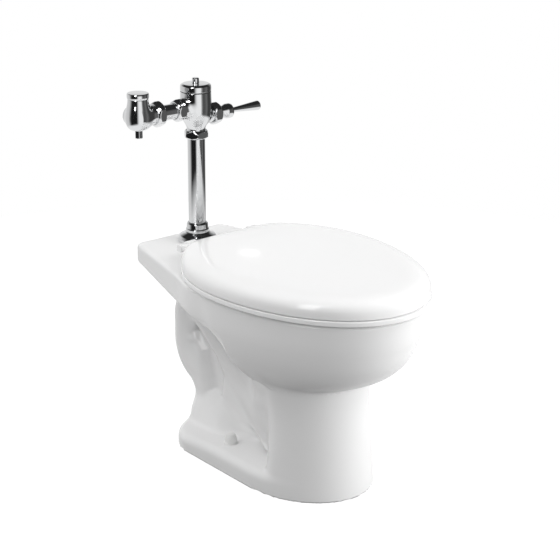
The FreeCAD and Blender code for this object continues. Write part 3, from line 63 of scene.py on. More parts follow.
# Corner of a line in a plane: its two coordinates and its rounding radius.
Corner = tuple[float, float, float]
Field = Callable[[Array, Array, Array], Array]

WHITE: Colour = (1.0, 1.0, 1.0, 1.0)
# Range that holds most values of a noise texture.
NOISE_LOW = 0.3
NOISE_HIGH = 0.7
# Sockets of a mix node that carry its colours.
MIX_FIRST = 6
MIX_SECOND = 7
MIX_RESULT = 2


class Body(str, Enum):
    """The moving bodies of the CAD frame that pieces ride on."""

    BASE = "base"
    SEAT = "seat"
    LID = "lid"
    HANDLE = "handle"
    REGULATOR = "regulator"
    STOP_SCREW = "stop_screw"


class Axis(Enum):
    """Ways a turned piece's own axis can point."""

    UP = "up"
    RIGHT = "right"
    LEFT = "left"


# Finishes


@dataclass(frozen=True)
class Finish:
    """A real material: what its surface is like to the eye."""

    name: str
    colour: str
    roughness: float
    metallic: float = 0.0
    ior: float = 1.5
    wave_mm: float = 0.0
    wave_height_mm: float = 0.0
    roughness_spread: float = 0.0


# Fired glaze: soft, wide highlights that wander a little where the slip is uneven.
CHINA = Finish("vitreous_china", "#F2F2F2", 0.27, ior=1.52, wave_mm=70.0, wave_height_mm=0.12)
# Moulded seat plastic: a cleaner white with a sharper gloss than the glaze.
SEAT_PLASTIC = Finish("moulded_seat_plastic", "#F6F6F6", 0.08, ior=1.49, wave_mm=90.0, wave_height_mm=0.08)
# Small mouldings: satin white.
WHITE_PLASTIC = Finish("satin_white_plastic", "#EBEBEA", 0.38, ior=1.49, wave_mm=2.0, wave_height_mm=0.01)
# Soft bumpers: slightly grey and dull.
BUMPER = Finish("bumper_plastic", "#E4E3DE", 0.5, ior=1.48, wave_mm=2.0, wave_height_mm=0.02)
# Polished chrome plate: mirror bright, with the least haze of wiping.
CHROME = Finish("polished_chrome", "#DFE0E1", 0.055, metallic=1.0, wave_mm=14.0, wave_height_mm=0.012,
                roughness_spread=0.03)
# Turned brass, seen only where a fitting is taken apart.
BRASS = Finish("turned_brass", "#B99A55", 0.3, metallic=1.0, wave_mm=1.2, wave_height_mm=0.01)
# Plain stainless steel of pins and bolts.
STEEL = Finish("plain_stainless_steel", "#B4B6B9", 0.28, metallic=1.0, wave_mm=1.5, wave_height_mm=0.01)
# Black rubber of washers and gaskets.
RUBBER = Finish("black_rubber", "#1C1C1D", 0.7, ior=1.52, wave_mm=1.0, wave_height_mm=0.03)
# Black moulded piston plastic.
BLACK_PLASTIC = Finish("black_moulding", "#252627", 0.42, ior=1.5, wave_mm=1.5, wave_height_mm=0.02)

SLOT_FINISHES: dict[str, Finish] = {
    "china": CHINA,
    "seat_plastic": SEAT_PLASTIC,
    "white_plastic": WHITE_PLASTIC,
    "bumper_plastic": BUMPER,
    "chrome": CHROME,
    "handle_chrome": CHROME,
    "brass": BRASS,
    "steel": STEEL,
    "rubber": RUBBER,
    "black_plastic": BLACK_PLASTIC,
}


def linear_colour(code: str) -> Colour:
    """Linear colour of an sRGB hex code.

    Args:
        code: Colour as #RRGGBB.

    Returns:
        Red, green, blue and alpha for a colour socket.
    """
    parts = [int(code[at:at + 2], 16) / 255 for at in (1, 3, 5)]
    flat = [part / 12.92 if part <= 0.04045 else ((part + 0.055) / 1.055) ** 2.4 for part in parts]
    return (flat[0], flat[1], flat[2], 1.0)


def add_node(tree: bpy.types.NodeTree, kind: str, **sockets: object) -> bpy.types.Node:
    """Adds a node and sets its inputs.

    Args:
        tree: Node tree that gets the node.
        kind: Node type.
        **sockets: Input values by socket name, with _ for a space; a socket is linked.

    Returns:
        The new node.
    """
    node = tree.nodes.new(kind)
    for name, value in sockets.items():
        socket = node.inputs[name.replace("_", " ")]
        if isinstance(value, bpy.types.NodeSocket):
            tree.links.new(value, socket)
        else:
            socket.default_value = value
    return node


def make_material(finish: Finish) -> bpy.types.Material:
    """Procedural material of a finish, made once.

    Args:
        finish: The real material.

    Returns:
        The material.
    """
    known = bpy.data.materials.get(finish.name)
    if known is not None:
        return known
    material = bpy.data.materials.new(finish.name)
    material.use_nodes = True
    tree = material.node_tree
    tree.nodes.clear()
    shader = add_node(
        tree, "ShaderNodeBsdfPrincipled",
        Base_Color=linear_colour(finish.colour), Roughness=finish.roughness, Metallic=finish.metallic,
        IOR=finish.ior,
    )
    place = add_node(tree, "ShaderNodeTexCoord")
    grain = add_node(tree, "ShaderNodeTexNoise", Vector=place.outputs["Object"],
                     Scale=1.0 / (finish.wave_mm * MM), Detail=2.0)
    bump = add_node(tree, "ShaderNodeBump", Height=grain.outputs["Fac"], Strength=1.0,
                    Distance=finish.wave_height_mm * MM)
    tree.links.new(bump.outputs["Normal"], shader.inputs["Normal"])
    if finish.roughness_spread:
        spread = add_node(tree, "ShaderNodeMapRange", Value=grain.outputs["Fac"],
                          From_Min=NOISE_LOW, From_Max=NOISE_HIGH,
                          To_Min=finish.roughness, To_Max=finish.roughness + finish.roughness_spread)
        tree.links.new(spread.outputs["Result"], shader.inputs["Roughness"])
    output = add_node(tree, "ShaderNodeOutputMaterial")
    tree.links.new(shader.outputs["BSDF"], output.inputs["Surface"])
    return material


# Meshes


@dataclass
class Sheet:
    """Corners and faces of a surface, in millimetres."""

    points: Array
    faces: list[Face]

    def joined(self, other: "Sheet") -> "Sheet":
        """This surface together with another.

        Args:
            other: Surface to add.

        Returns:
            Both as one surface.
        """
        shift = len(self.points)
        moved = [tuple(index + shift for index in face) for face in other.faces]
        return Sheet(np.vstack([self.points, other.points]), self.faces + moved)


def nodes_of(slot: str) -> list[str]:
    """CAD nodes that share a material slot.

    Args:
        slot: Name of the slot in the record.

    Returns:
        Names of the nodes.
    """
    return [part["node"] for part in frame["record"]["subparts"] if part["material_slot"] == slot]


def make_mesh(
    name: str, sheet: Sheet, finish: Finish, normals: Array | None = None, sharp_degrees: float = 38.0,
) -> bpy.types.Mesh:
    """Smooth mesh of a surface.

    Args:
        name: Mesh name.
        sheet: Its surface in millimetres.
        finish: Its material.
        normals: Corner normals, where they are known better than from the faces.
        sharp_degrees: Edges turned by more than this stay sharp.

    Returns:
        The mesh.
    """
    mesh = bpy.data.meshes.new(name)
    mesh.from_pydata((sheet.points * MM).tolist(), [], sheet.faces)
    mesh.materials.append(make_material(finish))
    mesh.polygons.foreach_set("use_smooth", np.ones(len(mesh.polygons), dtype=bool))
    mesh.update()
    if normals is not None:
        mesh.normals_split_custom_set_from_vertices(normals.tolist())
    else:
        mesh.set_sharp_from_angle(angle=math.radians(sharp_degrees))
    return mesh


def place_piece(mesh: bpy.types.Mesh, body: Body, stands_for: Sequence[str]) -> None:
    """Makes an object of a mesh that rides on a body and stands for CAD nodes.

    Args:
        mesh: The finished mesh.
        body: Body that it moves with.
        stands_for: CAD nodes that it replaces.
    """
    piece = bpy.data.objects.new(mesh.name, mesh)
    bpy.context.scene.collection.objects.link(piece)
    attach(piece, body.value)
    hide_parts(*stands_for)
    LOG.info("%s: %d faces", mesh.name, len(mesh.polygons))


def add_piece(
    name: str, sheet: Sheet, finish: Finish, body: Body, stands_for: Sequence[str],
    normals: Array | None = None,
) -> None:
    """Makes a piece from a surface and places it.

    Args:
        name: Name of the piece.
        sheet: Its surface in millimetres.
        finish: Its material.
        body: Body that it moves with.
        stands_for: CAD nodes that it replaces.
        normals: Corner normals, where they are known better than from the faces.
    """
    place_piece(make_mesh(name, sheet, finish, normals), body, stands_for)


def row_tree() -> bpy.types.NodeTree:
    """Node tree that repeats a mesh in a row across the object, centred on its middle plane.

    Returns:
        The tree, with inputs for the count, the spacing and the finish.
    """
    tree = bpy.data.node_groups.new("row_of_copies", "GeometryNodeTree")
    kinds = {"Geometry": "Geometry", "Count": "Int", "Spacing": "Float", "Finish": "Material"}
    for name, kind in kinds.items():
        tree.interface.new_socket(name, in_out="INPUT", socket_type=f"NodeSocket{kind}")
    tree.interface.new_socket("Geometry", in_out="OUTPUT", socket_type="NodeSocketGeometry")
    given = add_node(tree, "NodeGroupInput")
    # The first copy stands (1 - count) / 2 spacings from the middle.
    steps = add_node(tree, "ShaderNodeMath")
    steps.operation = "MULTIPLY_ADD"
    tree.links.new(given.outputs["Count"], steps.inputs[0])
    steps.inputs[1].default_value = -0.5
    steps.inputs[2].default_value = 0.5
    start = add_node(tree, "ShaderNodeMath")
    start.operation = "MULTIPLY"
    tree.links.new(steps.outputs["Value"], start.inputs[0])
    tree.links.new(given.outputs["Spacing"], start.inputs[1])
    first = add_node(tree, "ShaderNodeCombineXYZ", X=start.outputs["Value"])
    gap = add_node(tree, "ShaderNodeCombineXYZ", X=given.outputs["Spacing"])
    line = add_node(tree, "GeometryNodeMeshLine", Count=given.outputs["Count"],
                    Start_Location=first.outputs["Vector"], Offset=gap.outputs["Vector"])
    copies = add_node(tree, "GeometryNodeInstanceOnPoints", Points=line.outputs["Mesh"],
                      Instance=given.outputs["Geometry"])
    real = add_node(tree, "GeometryNodeRealizeInstances", Geometry=copies.outputs["Instances"])
    dressed = add_node(tree, "GeometryNodeSetMaterial", Geometry=real.outputs["Geometry"],
                       Material=given.outputs["Finish"])
    add_node(tree, "NodeGroupOutput", Geometry=dressed.outputs["Geometry"])
    return tree


def row_mesh(name: str, sheet: Sheet, finish: Finish, count: int, spacing: float) -> bpy.types.Mesh:
    """Plain mesh of copies in a row across the object.

    Args:
        name: Mesh name.
        sheet: One copy, around the middle plane, in millimetres.
        finish: Its material.
        count: Number of copies.
        spacing: Distance between them in millimetres.

    Returns:
        The mesh of all copies.
    """
    pattern = bpy.data.objects.new(name, make_mesh(name, sheet, finish))
    bpy.context.scene.collection.objects.link(pattern)
    tree = row_tree()
    modifier = pattern.modifiers.new("row", "NODES")
    modifier.node_group = tree
    sockets = {item.name: item.identifier for item in tree.interface.items_tree if item.in_out == "INPUT"}
    modifier[sockets["Count"]] = count
    modifier[sockets["Spacing"]] = spacing * MM
    modifier[sockets["Finish"]] = make_material(finish)
    evaluated = pattern.evaluated_get(bpy.context.evaluated_depsgraph_get())
    mesh = bpy.data.meshes.new_from_object(evaluated)
    pattern.modifiers.remove(modifier)
    bpy.data.objects.remove(pattern)
    mesh.name = f"{name}_row"
    return mesh


# A corner that turns by less stays plain, and a rounding takes up at most this share of a side.
LEAST_TURN = 1e-3
SIDE_SHARE = 0.49


def rounded_path(corners: Sequence[Corner], closed: bool, steps: int = 5) -> list[Spot]:
    """Rounds the corners of a line.

    Args:
        corners: First and second coordinate of each corner, and its rounding radius.
        closed: Whether the line joins back to its start.
        steps: Points along each rounding.

    Returns:
        Points of the rounded line.
    """
    points = [Vector((corner[0], corner[1])) for corner in corners]
    path: list[Spot] = []
    for index, here in enumerate(points):
        radius = corners[index][2]
        at_end = not closed and index in (0, len(points) - 1)
        if radius <= 0 or at_end:
            path.append((here.x, here.y))
            continue
        before = points[index - 1]
        after = points[(index + 1) % len(points)]
        into = (here - before).normalized()
        out = (after - here).normalized()
        half_turn = into.angle(out) / 2
        if half_turn < LEAST_TURN:
            path.append((here.x, here.y))
            continue
        limit = SIDE_SHARE * min((here - before).length, (after - here).length)
        reach = min(radius * math.tan(half_turn), limit)
        radius = reach / math.tan(half_turn)
        centre = here + (out - into).normalized() * (radius / math.cos(half_turn))
        start = here - into * reach - centre
        sweep = 2 * half_turn * (1 if into.x * out.y - into.y * out.x > 0 else -1)
        for step in range(steps + 1):
            turn = sweep * step / steps
            x = centre.x + start.x * math.cos(turn) - start.y * math.sin(turn)
            y = centre.y + start.x * math.sin(turn) + start.y * math.cos(turn)
            path.append((x, y))
    return path


def strip_faces(rows: int, count: int, closed: bool) -> list[Face]:
    """Faces between rings of corners.

    Args:
        rows: Number of rings.
        count: Corners in each ring.
        closed: Whether the last ring joins the first.

    Returns:
        Four-sided faces, outward for rings that run anticlockwise and rise.
    """
    faces = []
    last = rows if closed else rows - 1
    for row in range(last):
        low = row * count
        high = ((row + 1) % rows) * count
        for at in range(count):
            after = (at + 1) % count
            faces.append((low + at, low + after, high + after, high + at))
    return faces


# Radius that stands for the axis itself in a turned piece.
AXIS_R = 1e-4


def turned_sheet(
    corners: Sequence[Corner], centre: Point, axis: Axis = Axis.UP,
    flats: float | None = None, segments: int = 72,
) -> Sheet:
    """Turned surface, or a six-sided one, about an axis.

    Args:
        corners: Radius, height and rounding of each corner, anticlockwise with the axis on the left;
            a closed loop, unless the first lies on the axis.
        centre: Where height 0 on the axis is.
        axis: Way that the axis points.
        flats: Width across flats of a six-sided piece.
        segments: Steps around the axis.

    Returns:
        The surface.
    """
    closed = corners[0][0] > 0
    path = rounded_path(corners, closed)
    if flats is not None:
        path = densified(path, closed)
    turn = np.arange(segments) * 2 * math.pi / segments
    side = np.full(segments, np.inf)
    if flats is not None:
        side = flats / 2 / np.cos((turn % (math.pi / 3)) - math.pi / 6)
    rings = []
    for radius, height in path:
        reach = np.minimum(max(radius, AXIS_R), side)
        ring = [reach * np.cos(turn), reach * np.sin(turn), np.full(segments, height)]
        rings.append(np.stack(ring, axis=1))
    points = np.vstack(rings)
    x, y, z = points.T
    if axis is Axis.RIGHT:
        points = np.stack([z, y, -x], axis=1)
    elif axis is Axis.LEFT:
        points = np.stack([-z, y, x], axis=1)
    return Sheet(points + np.array(centre), strip_faces(len(path), segments, closed))


def densified(path: Sequence[Spot], closed: bool, longest: float = 1.0) -> list[Spot]:
    """Adds points along a line where it has long straight steps.

    Args:
        path: Points of the line.
        closed: Whether it joins back to its start.
        longest: Longest step left.

    Returns:
        The line with more points.
    """
    dense = []
    last = len(path) if closed else len(path) - 1
    for index in range(last):
        (x, y), (u, v) = path[index], path[(index + 1) % len(path)]
        count = max(1, math.ceil(math.hypot(u - x, v - y) / longest))
        dense += [(x + (u - x) * k / count, y + (v - y) * k / count) for k in range(count)]
    return dense if closed else dense + [path[-1]]


def box_sheet(low: Point, high: Point, edge: float) -> Sheet:
    """Box with rounded upright edges and bevels above and below.

    Args:
        low: Lowest corner.
        high: Highest corner.
        edge: Radius of the roundings and width of the bevels.

    Returns:
        The surface.
    """
    (x, y, z), (u, v, w) = low, high
    outline = rounded_path([(x, y, edge), (u, y, edge), (u, v, edge), (x, v, edge)], True, 4)
    rings = []
    below = [(1.0, z), (0.3, z + 0.3 * edge), (0.0, z + edge)]
    above = [(0.0, w - edge), (0.3, w - 0.3 * edge), (1.0, w)]
    middle = np.array([(x + u) / 2, (y + v) / 2])
    half = np.array([(u - x) / 2, (v - y) / 2])
    for share, height in below + above:
        ring = middle + (np.array(outline) - middle) * (half - share * edge) / half
        rings.append(np.column_stack([ring, np.full(len(ring), height)]))
    count = len(outline)
    faces = strip_faces(len(rings), count, False)
    faces.append(tuple(reversed(range(count))))
    top = (len(rings) - 1) * count
    faces.append(tuple(range(top, top + count)))
    return Sheet(np.vstack(rings), faces)


# Fields: signed distance in millimetres, below zero inside


def soft_min(a: Array, b: Array, blend: float) -> Array:
    """Union of two fields with a rounded join.

    Args:
        a: First field.
        b: Second field.
        blend: Width of the join.

    Returns:
        The joined field.
    """
    share = np.clip(0.5 + 0.5 * (b - a) / blend, 0.0, 1.0)
    return b * (1 - share) + a * share - blend * share * (1 - share)


def soft_max(a: Array, b: Array, blend: float) -> Array:
    """Overlap of two fields with a rounded edge.

    Args:
        a: First field.
        b: Second field.
        blend: Width of the rounding.

    Returns:
        The overlapped field.
    """
    return -soft_min(-a, -b, blend)


# Keeps the field at the middle of an oval from dividing by zero.
TINY = 1e-6


def oval_field(x: Array, y: Array, half: Array, mid: Array, front: Array, rear: Array) -> Array:
    """Distance from an outline that is half an ellipse to the front and half another to the rear.

    Args:
        x: Places across.
        y: Places along.
        half: Half width.
        mid: Where the two halves meet.
        front: Reach to the front.
        rear: Reach to the rear.

    Returns:
        The field.
    """
    along = y - mid
    reach = np.where(along < 0, front, rear)
    size = np.sqrt((x / half) ** 2 + (along / reach) ** 2)
    slope = np.sqrt((x / half**2) ** 2 + (along / reach**2) ** 2)
    return (size - 1) * (size + TINY) / (slope + TINY / half)


# Number of values that a smooth curve is kept as.
TABLE_STEPS = 200


def smooth_table(heights: Sequence[float], values: Sequence[float]) -> tuple[Array, Array]:
    """Smooth curve through values at rising heights.

    Args:
        heights: Heights that have values.
        values: The values.

    Returns:
        Dense heights and values for interpolation.
    """
    z = np.array(heights, dtype=float)
    v = np.array(values, dtype=float)
    steps = np.diff(v) / np.diff(z)
    slopes = np.concatenate([[steps[0]], (steps[:-1] + steps[1:]) / 2, [steps[-1]]])
    dense = np.linspace(z[0], z[-1], TABLE_STEPS)
    at = np.clip(np.searchsorted(z, dense, side="right") - 1, 0, len(z) - 2)
    gap = z[at + 1] - z[at]
    t = (dense - z[at]) / gap
    curve = ((2 * t**3 - 3 * t**2 + 1) * v[at] + (t**3 - 2 * t**2 + t) * gap * slopes[at]
             + (3 * t**2 - 2 * t**3) * v[at + 1] + (t**3 - t**2) * gap * slopes[at + 1])
    return dense, curve


def radius_at(z: Array, table: Sequence[Spot]) -> Array:
    """Radius of a turned form at given heights.

    Args:
        z: Heights.
        table: Height and radius, by rising height.

    Returns:
        The radii.
    """
    dense, curve = smooth_table([height for height, _ in table], [radius for _, radius in table])
    return np.interp(z, dense, curve)


@dataclass(frozen=True)
class Level:
    """One level outline of a lofted form."""

    z: float
    half: float
    mid: float
    front: float
    rear: float


def level_field(x: Array, y: Array, level: Level) -> Array:
    """Field of a form with the same outline at every height.

    Args:
        x: Places across.
        y: Places along.
        level: The outline.

    Returns:
        The field.
    """
    return oval_field(x, y, level.half, level.mid, level.front, level.rear)


def loft_field(x: Array, y: Array, z: Array, levels: Sequence[Level]) -> Array:
    """Field of a form whose outline changes smoothly with height; open above and below.

    Args:
        x: Places across.
        y: Places along.
        z: Heights.
        levels: Outlines by rising height.

    Returns:
        The field.
    """
    heights = [level.z for level in levels]
    names = ("half", "mid", "front", "rear")
    tables = [smooth_table(heights, [getattr(level, name) for level in levels]) for name in names]
    return oval_field(x, y, *[np.interp(z, dense, curve) for dense, curve in tables])


def route_distance(y: Array, z: Array, route: Sequence[Spot]) -> Array:
    """Distance in the middle plane from a line of points.

    Args:
        y: Places along.
        z: Heights.
        route: Points of the line.

    Returns:
        Distance from it.
    """
    best = None
    for (a, b), (c, d) in zip(route, route[1:]):
        span = (c - a) ** 2 + (d - b) ** 2
        t = np.clip(((y - a) * (c - a) + (z - b) * (d - b)) / span, 0.0, 1.0)
        gap = (y - a - t * (c - a)) ** 2 + (z - b - t * (d - b)) ** 2
        best = gap if best is None else np.minimum(best, gap)
    return np.sqrt(best)


def tube_field(x: Array, y: Array, z: Array, route: Sequence[Spot], radius: float) -> Array:
    """Field of a round tube that runs in the middle plane.

    Args:
        x: Places across.
        y: Places along.
        z: Heights.
        route: Points of its middle line.
        radius: Its radius.

    Returns:
        The field.
    """
    return np.sqrt(route_distance(y, z, route) ** 2 + x**2) - radius


def polygon_field(y: Array, z: Array, corners: Sequence[Spot]) -> Array:
    """Distance from a polygon in the middle plane, below zero inside.

    Args:
        y: Places along.
        z: Heights.
        corners: Corners of the polygon.

    Returns:
        The field.
    """
    ring = list(corners) + [corners[0]]
    gap = route_distance(y, z, ring)
    inside = np.zeros(np.broadcast(y, z).shape, dtype=bool)
    for (a, b), (c, d) in zip(ring, ring[1:]):
        if b == d:
            continue
        crosses = (b > z) != (d > z)
        inside ^= crosses & (y < (c - a) * (z - b) / (d - b) + a)
    return np.where(inside, -gap, gap)


# How often the corners of a field's mesh are drawn onto its surface, how far at most as a share of
# the grid step, and the least steepness and length that are divided by.
DRAW_PASSES = 2
DRAW_SHARE = 0.5
LEAST_STEEPNESS = 0.05
LEAST_LENGTH = 1e-9


def field_mesh(shape: Field, low: Point, high: Point, step: float) -> tuple[Sheet, Array]:
    """Smooth surface where a field is zero.

    Args:
        shape: The field.
        low: Lowest corner of the space that holds it.
        high: Highest corner.
        step: Grid step.

    Returns:
        The surface and its outward normals.
    """
    ticks = [np.arange(a, b + step, step) for a, b in zip(low, high)]
    x, y, z = ticks[0][:, None, None], ticks[1][None, :, None], ticks[2][None, None, :]
    values = shape(x, y, z).astype(np.float32)
    inside = values < 0
    counts = np.zeros([len(t) - 1 for t in ticks], dtype=np.int8)
    offsets = [(i, j, k) for i in (0, 1) for j in (0, 1) for k in (0, 1)]
    nx, ny, nz = counts.shape
    for i, j, k in offsets:
        counts += inside[i:nx + i, j:ny + j, k:nz + k]
    active = (counts > 0) & (counts < 8)
    cells = np.argwhere(active)
    index = np.full(counts.shape, -1, dtype=np.int64)
    index[active] = np.arange(len(cells))
    total = np.zeros((len(cells), 3))
    hits = np.zeros(len(cells))
    for start in offsets:
        for way in range(3):
            if start[way]:
                continue
            end = list(start)
            end[way] = 1
            a = values[tuple((cells + start).T)].astype(float)
            b = values[tuple((cells + end).T)].astype(float)
            cross = (a < 0) != (b < 0)
            place = np.tile(np.array(start, dtype=float), (len(cells), 1))
            place[:, way] += np.where(cross, a / np.where(a == b, 1.0, a - b), 0.0)
            total[cross] += place[cross]
            hits[cross] += 1
    points = (cells + total / hits[:, None]) * step + np.array(low)
    faces = grid_faces(inside, index)
    for _ in range(DRAW_PASSES):
        value, slope = field_slope(shape, points)
        steepness = np.maximum((slope**2).sum(axis=1), LEAST_STEEPNESS)
        shift = -(value / steepness)[:, None] * slope
        length = np.maximum(np.linalg.norm(shift, axis=1, keepdims=True), LEAST_LENGTH)
        points = points + shift * np.minimum(1.0, DRAW_SHARE * step / length)
    slope = field_slope(shape, points)[1]
    normals = slope / np.maximum(np.linalg.norm(slope, axis=1, keepdims=True), LEAST_LENGTH)
    return Sheet(points, faces), normals


def field_slope(shape: Field, points: Array, reach: float = 0.6) -> tuple[Array, Array]:
    """Value and slope of a field at points.

    Args:
        shape: The field.
        points: Places to read it.
        reach: Step for the differences.

    Returns:
        Values and slopes.
    """
    slope = np.empty_like(points)
    for way in range(3):
        ahead, behind = points.copy(), points.copy()
        ahead[:, way] += reach
        behind[:, way] -= reach
        slope[:, way] = (shape(*ahead.T) - shape(*behind.T)) / (2 * reach)
    return shape(*points.T), slope


def grid_faces(inside: Array, index: Array) -> list[Face]:
    """Faces across every grid edge that a surface crosses.

    Args:
        inside: Which grid points are inside.
        index: Corner number of each crossed cell.

    Returns:
        Outward four-sided faces.
    """
    faces: list[Face] = []
    for way in range(3):
        first, second = (way + 1) % 3, (way + 2) % 3
        head = [slice(None)] * 3
        tail = [slice(None)] * 3
        head[way], tail[way] = slice(0, -1), slice(1, None)
        begins = inside[tuple(head)]
        change = begins != inside[tuple(tail)]
        spots = np.argwhere(change)
        keep = (spots[:, first] > 0) & (spots[:, second] > 0)
        keep &= (spots[:, first] < index.shape[first]) & (spots[:, second] < index.shape[second])
        spots = spots[keep]
        outward = begins[tuple(spots.T)]
        back_first, back_second = spots.copy(), spots.copy()
        back_first[:, first] -= 1
        back_second[:, second] -= 1
        back_both = back_first.copy()
        back_both[:, second] -= 1
        ring = np.stack([index[tuple(s.T)] for s in (back_both, back_second, spots, back_first)], axis=1)
        ring[~outward] = ring[~outward][:, ::-1]
        faces += [tuple(face) for face in ring.tolist()]
    return faces


# China bowl


@dataclass(frozen=True)
class ChinaJoins:
    """Widths of the rounded edges and joins of the china."""

    bowl_edge: float = 4.0
    deck_corner: float = 14.0
    deck_front: float = 60.0
    deck_edge: float = 9.0
    deck: float = 36.0
    rim_edge: float = 7.0
    foot_edge: float = 15.0
    horn: float = 14.0
    hump: float = 10.0
    web_edge: float = 4.0
    cheek_edge: float = 9.0
    cheek: float = 5.0
    web: float = 8.0
    neck_edge: float = 6.0
    neck: float = 16.0
    sump: float = 60.0
    recess_edge: float = 12.0
    recess: float = 24.0
    column_rear: float = 60.0
    column: float = 36.0
    foot: float = 7.0
    upper: float = 9.0
    basin_edge: float = 8.0
    skirt_edge: float = 5.0
    mouth: float = 3.0
    passage: float = 6.0
    opening_edge: float = 7.0


@dataclass
class ChinaBowl:
    """The one-piece china bowl with its rim, deck, pedestal, foot and trapway."""

    joins: ChinaJoins = ChinaJoins()
    step: float = 4.3
    low: Point = (-190.0, -365.0, -8.0)
    high: Point = (190.0, 262.0, 366.0)
    # The bowl from its crease up to the rim, outside and inside.
    rim_z: float = RIM_Z
    crease_z: float = 200.0
    outer: tuple[Level, ...] = (
        Level(200.0, 106.0, -108.0, 125.0, 100.0),
        Level(225.0, 132.0, -102.0, 184.0, 117.0),
        Level(255.0, 155.0, -95.0, 226.0, 138.0),
        Level(300.0, 171.0, -90.0, 252.0, 167.0),
        Level(356.0, 179.0, -88.0, 265.0, 188.0),
    )
    inner: tuple[Level, ...] = (
        Level(68.0, 36.0, -100.0, 42.0, 38.0),
        Level(136.0, 59.0, -104.0, 73.0, 63.0),
        Level(205.0, 82.0, -108.0, 104.0, 72.0),
        Level(261.5, 142.0, -95.0, 213.0, 130.0),
        Level(300.0, 158.0, -90.0, 239.0, 152.0),
        Level(342.0, 166.0, -88.0, 252.0, 175.0),
    )
    # How much the bowl narrows to the rear, and where this starts along it and below the rim.
    taper: float = 0.4
    taper_y: float = -95.0
    taper_length: float = 140.0
    taper_z: float = 306.0
    taper_depth: float = 56.0
    # The deck: its rear edge, its sides that spread forward from there, the length of a side per
    # unit forward, and its falling underside.
    deck_rear: float = 253.0
    deck_front: float = -20.0
    deck_side_y: float = 250.0
    deck_half: float = 100.0
    deck_spread: float = 0.2533
    deck_side_length: float = 1.0316
    deck_low: float = 320.0
    deck_fall: float = 26.0
    deck_fall_length: float = 290.0
    # The front column: it ends to the rear at a plane that leans back from the floor to the crease.
    pedestal: tuple[Level, ...] = (
        Level(0.0, 119.0, -97.0, 153.0, 100.0),
        Level(210.0, 104.7, -108.6, 123.0, 100.0),
    )
    column_rear: float = -110.0
    column_lean: float = 12.0
    column_top: float = 212.0
    sump: tuple[Level, ...] = (
        Level(55.0, 49.0, -100.0, 55.0, 51.0),
        Level(206.0, 95.0, -108.0, 117.0, 101.0),
    )
    # The foot: straight sides between a rounded front and a rounded rear, and a top that slopes back.
    foot_half: float = 118.0
    foot_front_y: float = -97.0
    foot_front: float = 139.0
    foot_rear_y: float = 78.0
    foot_rear: float = 93.0
    foot_reach: float = 112.0
    foot_top: float = 36.0
    foot_slope: float = 0.07
    # The hump over the outlet and the horn that runs forward from it.
    hump_r: float = 66.0
    hump_line: tuple[Spot, ...] = ((72.0, 30.0), (112.0, 30.0))
    horn_r: float = 42.0
    horn_line: tuple[Spot, ...] = ((2.0, 44.0), (72.0, 40.0))
    # The trapway from the sump over the weir and down, and the way of the water through it.
    trap_r: float = 46.0
    passage_r: float = 25.0
    route: tuple[Corner, ...] = (
        (-105.0, 92.0, 0.0), (-35.0, 92.0, 80.0), (192.0, 280.0, 50.0), (192.0, 139.0, 50.0),
        (130.0, 106.0, 50.0),
    )
    leg_end: Corner = (130.0, 0.0, 0.0)
    outlet: tuple[Corner, ...] = ((130.0, 48.0, 27.0), (0.0, 48.0, 27.0), (0.0, -20.0, 0.0))
    # The walls beside the trapway: a thin web, a thick cheek and the recess in it.
    web_half: float = 5.0
    web: tuple[Spot, ...] = (
        (-105.0, 0.0), (130.0, 0.0), (130.0, 106.0), (192.0, 139.0), (140.0, 300.0), (0.0, 300.0),
        (-105.0, 200.0),
    )
    cheek_half: float = 41.0
    cheek: tuple[Spot, ...] = (
        (-105.0, 60.0), (130.0, 60.0), (192.0, 139.0), (192.0, 262.0), (150.0, 262.0), (-35.0, 110.0),
        (-105.0, 110.0),
    )
    recess_half: float = 25.0
    recess: tuple[Spot, ...] = (
        (156.0, 194.0), (130.0, 166.0), (112.0, 120.0), (106.0, 84.0), (86.0, 84.0), (79.0, 132.0),
        (99.0, 166.0), (128.0, 196.0), (146.0, 206.0),
    )
    # The neck between deck and trapway, from its level up to its top.
    neck: Level = Level(182.0, 45.0, 124.0, 76.0, 70.0)
    neck_top: float = 342.0
    # Openings: the mouth lies above its level, the hollow under the front below its own, and the
    # china keeps a lip around the mouth where the skirt is.
    skirt: Level = Level(308.0, 128.0, -140.0, 170.0, 160.0)
    mouth: Level = Level(294.0, 118.0, -140.0, 160.0, 150.0)
    under: Level = Level(44.0, 92.0, -97.0, 128.0, 30.0)
    under_rear: float = -142.0
    spud_y: float = VALVE_Y
    spud_r: float = 23.8
    spud_low: float = 326.0

    def tapered(self, x: Array, y: Array, z: Array) -> Array:
        """Places across, spread so that the bowl narrows to the rear below its rim.

        Args:
            x: Places across.
            y: Places along.
            z: Heights.

        Returns:
            The spread places across.
        """
        below = np.clip((self.taper_z - z) / self.taper_depth, 0.0, 1.0)
        below = below**2 * (3.0 - 2.0 * below)
        behind = np.clip((y - self.taper_y) / self.taper_length, 0.0, 1.0)
        return x * (1.0 + self.taper * below * behind)

    def upper(self, x: Array, y: Array, z: Array) -> Array:
        """Field of the bowl and the deck behind it.

        Args:
            x: Places across.
            y: Places along.
            z: Heights.

        Returns:
            The field.
        """
        joins = self.joins
        bowl = loft_field(self.tapered(x, y, z), y, z, self.outer)
        bowl = soft_max(bowl, self.crease_z - z, joins.bowl_edge)
        ahead = self.deck_side_y - y
        sides = (np.abs(x) - self.deck_half - self.deck_spread * ahead) / self.deck_side_length
        plan = soft_max(sides, y - self.deck_rear, joins.deck_corner)
        plan = soft_max(plan, self.deck_front - y, joins.deck_front)
        under = self.deck_low - self.deck_fall * ahead / self.deck_fall_length - z
        deck = soft_max(plan, under, joins.deck_edge)
        both = soft_min(bowl, deck, joins.deck)
        return soft_max(both, z - self.rim_z, joins.rim_edge)

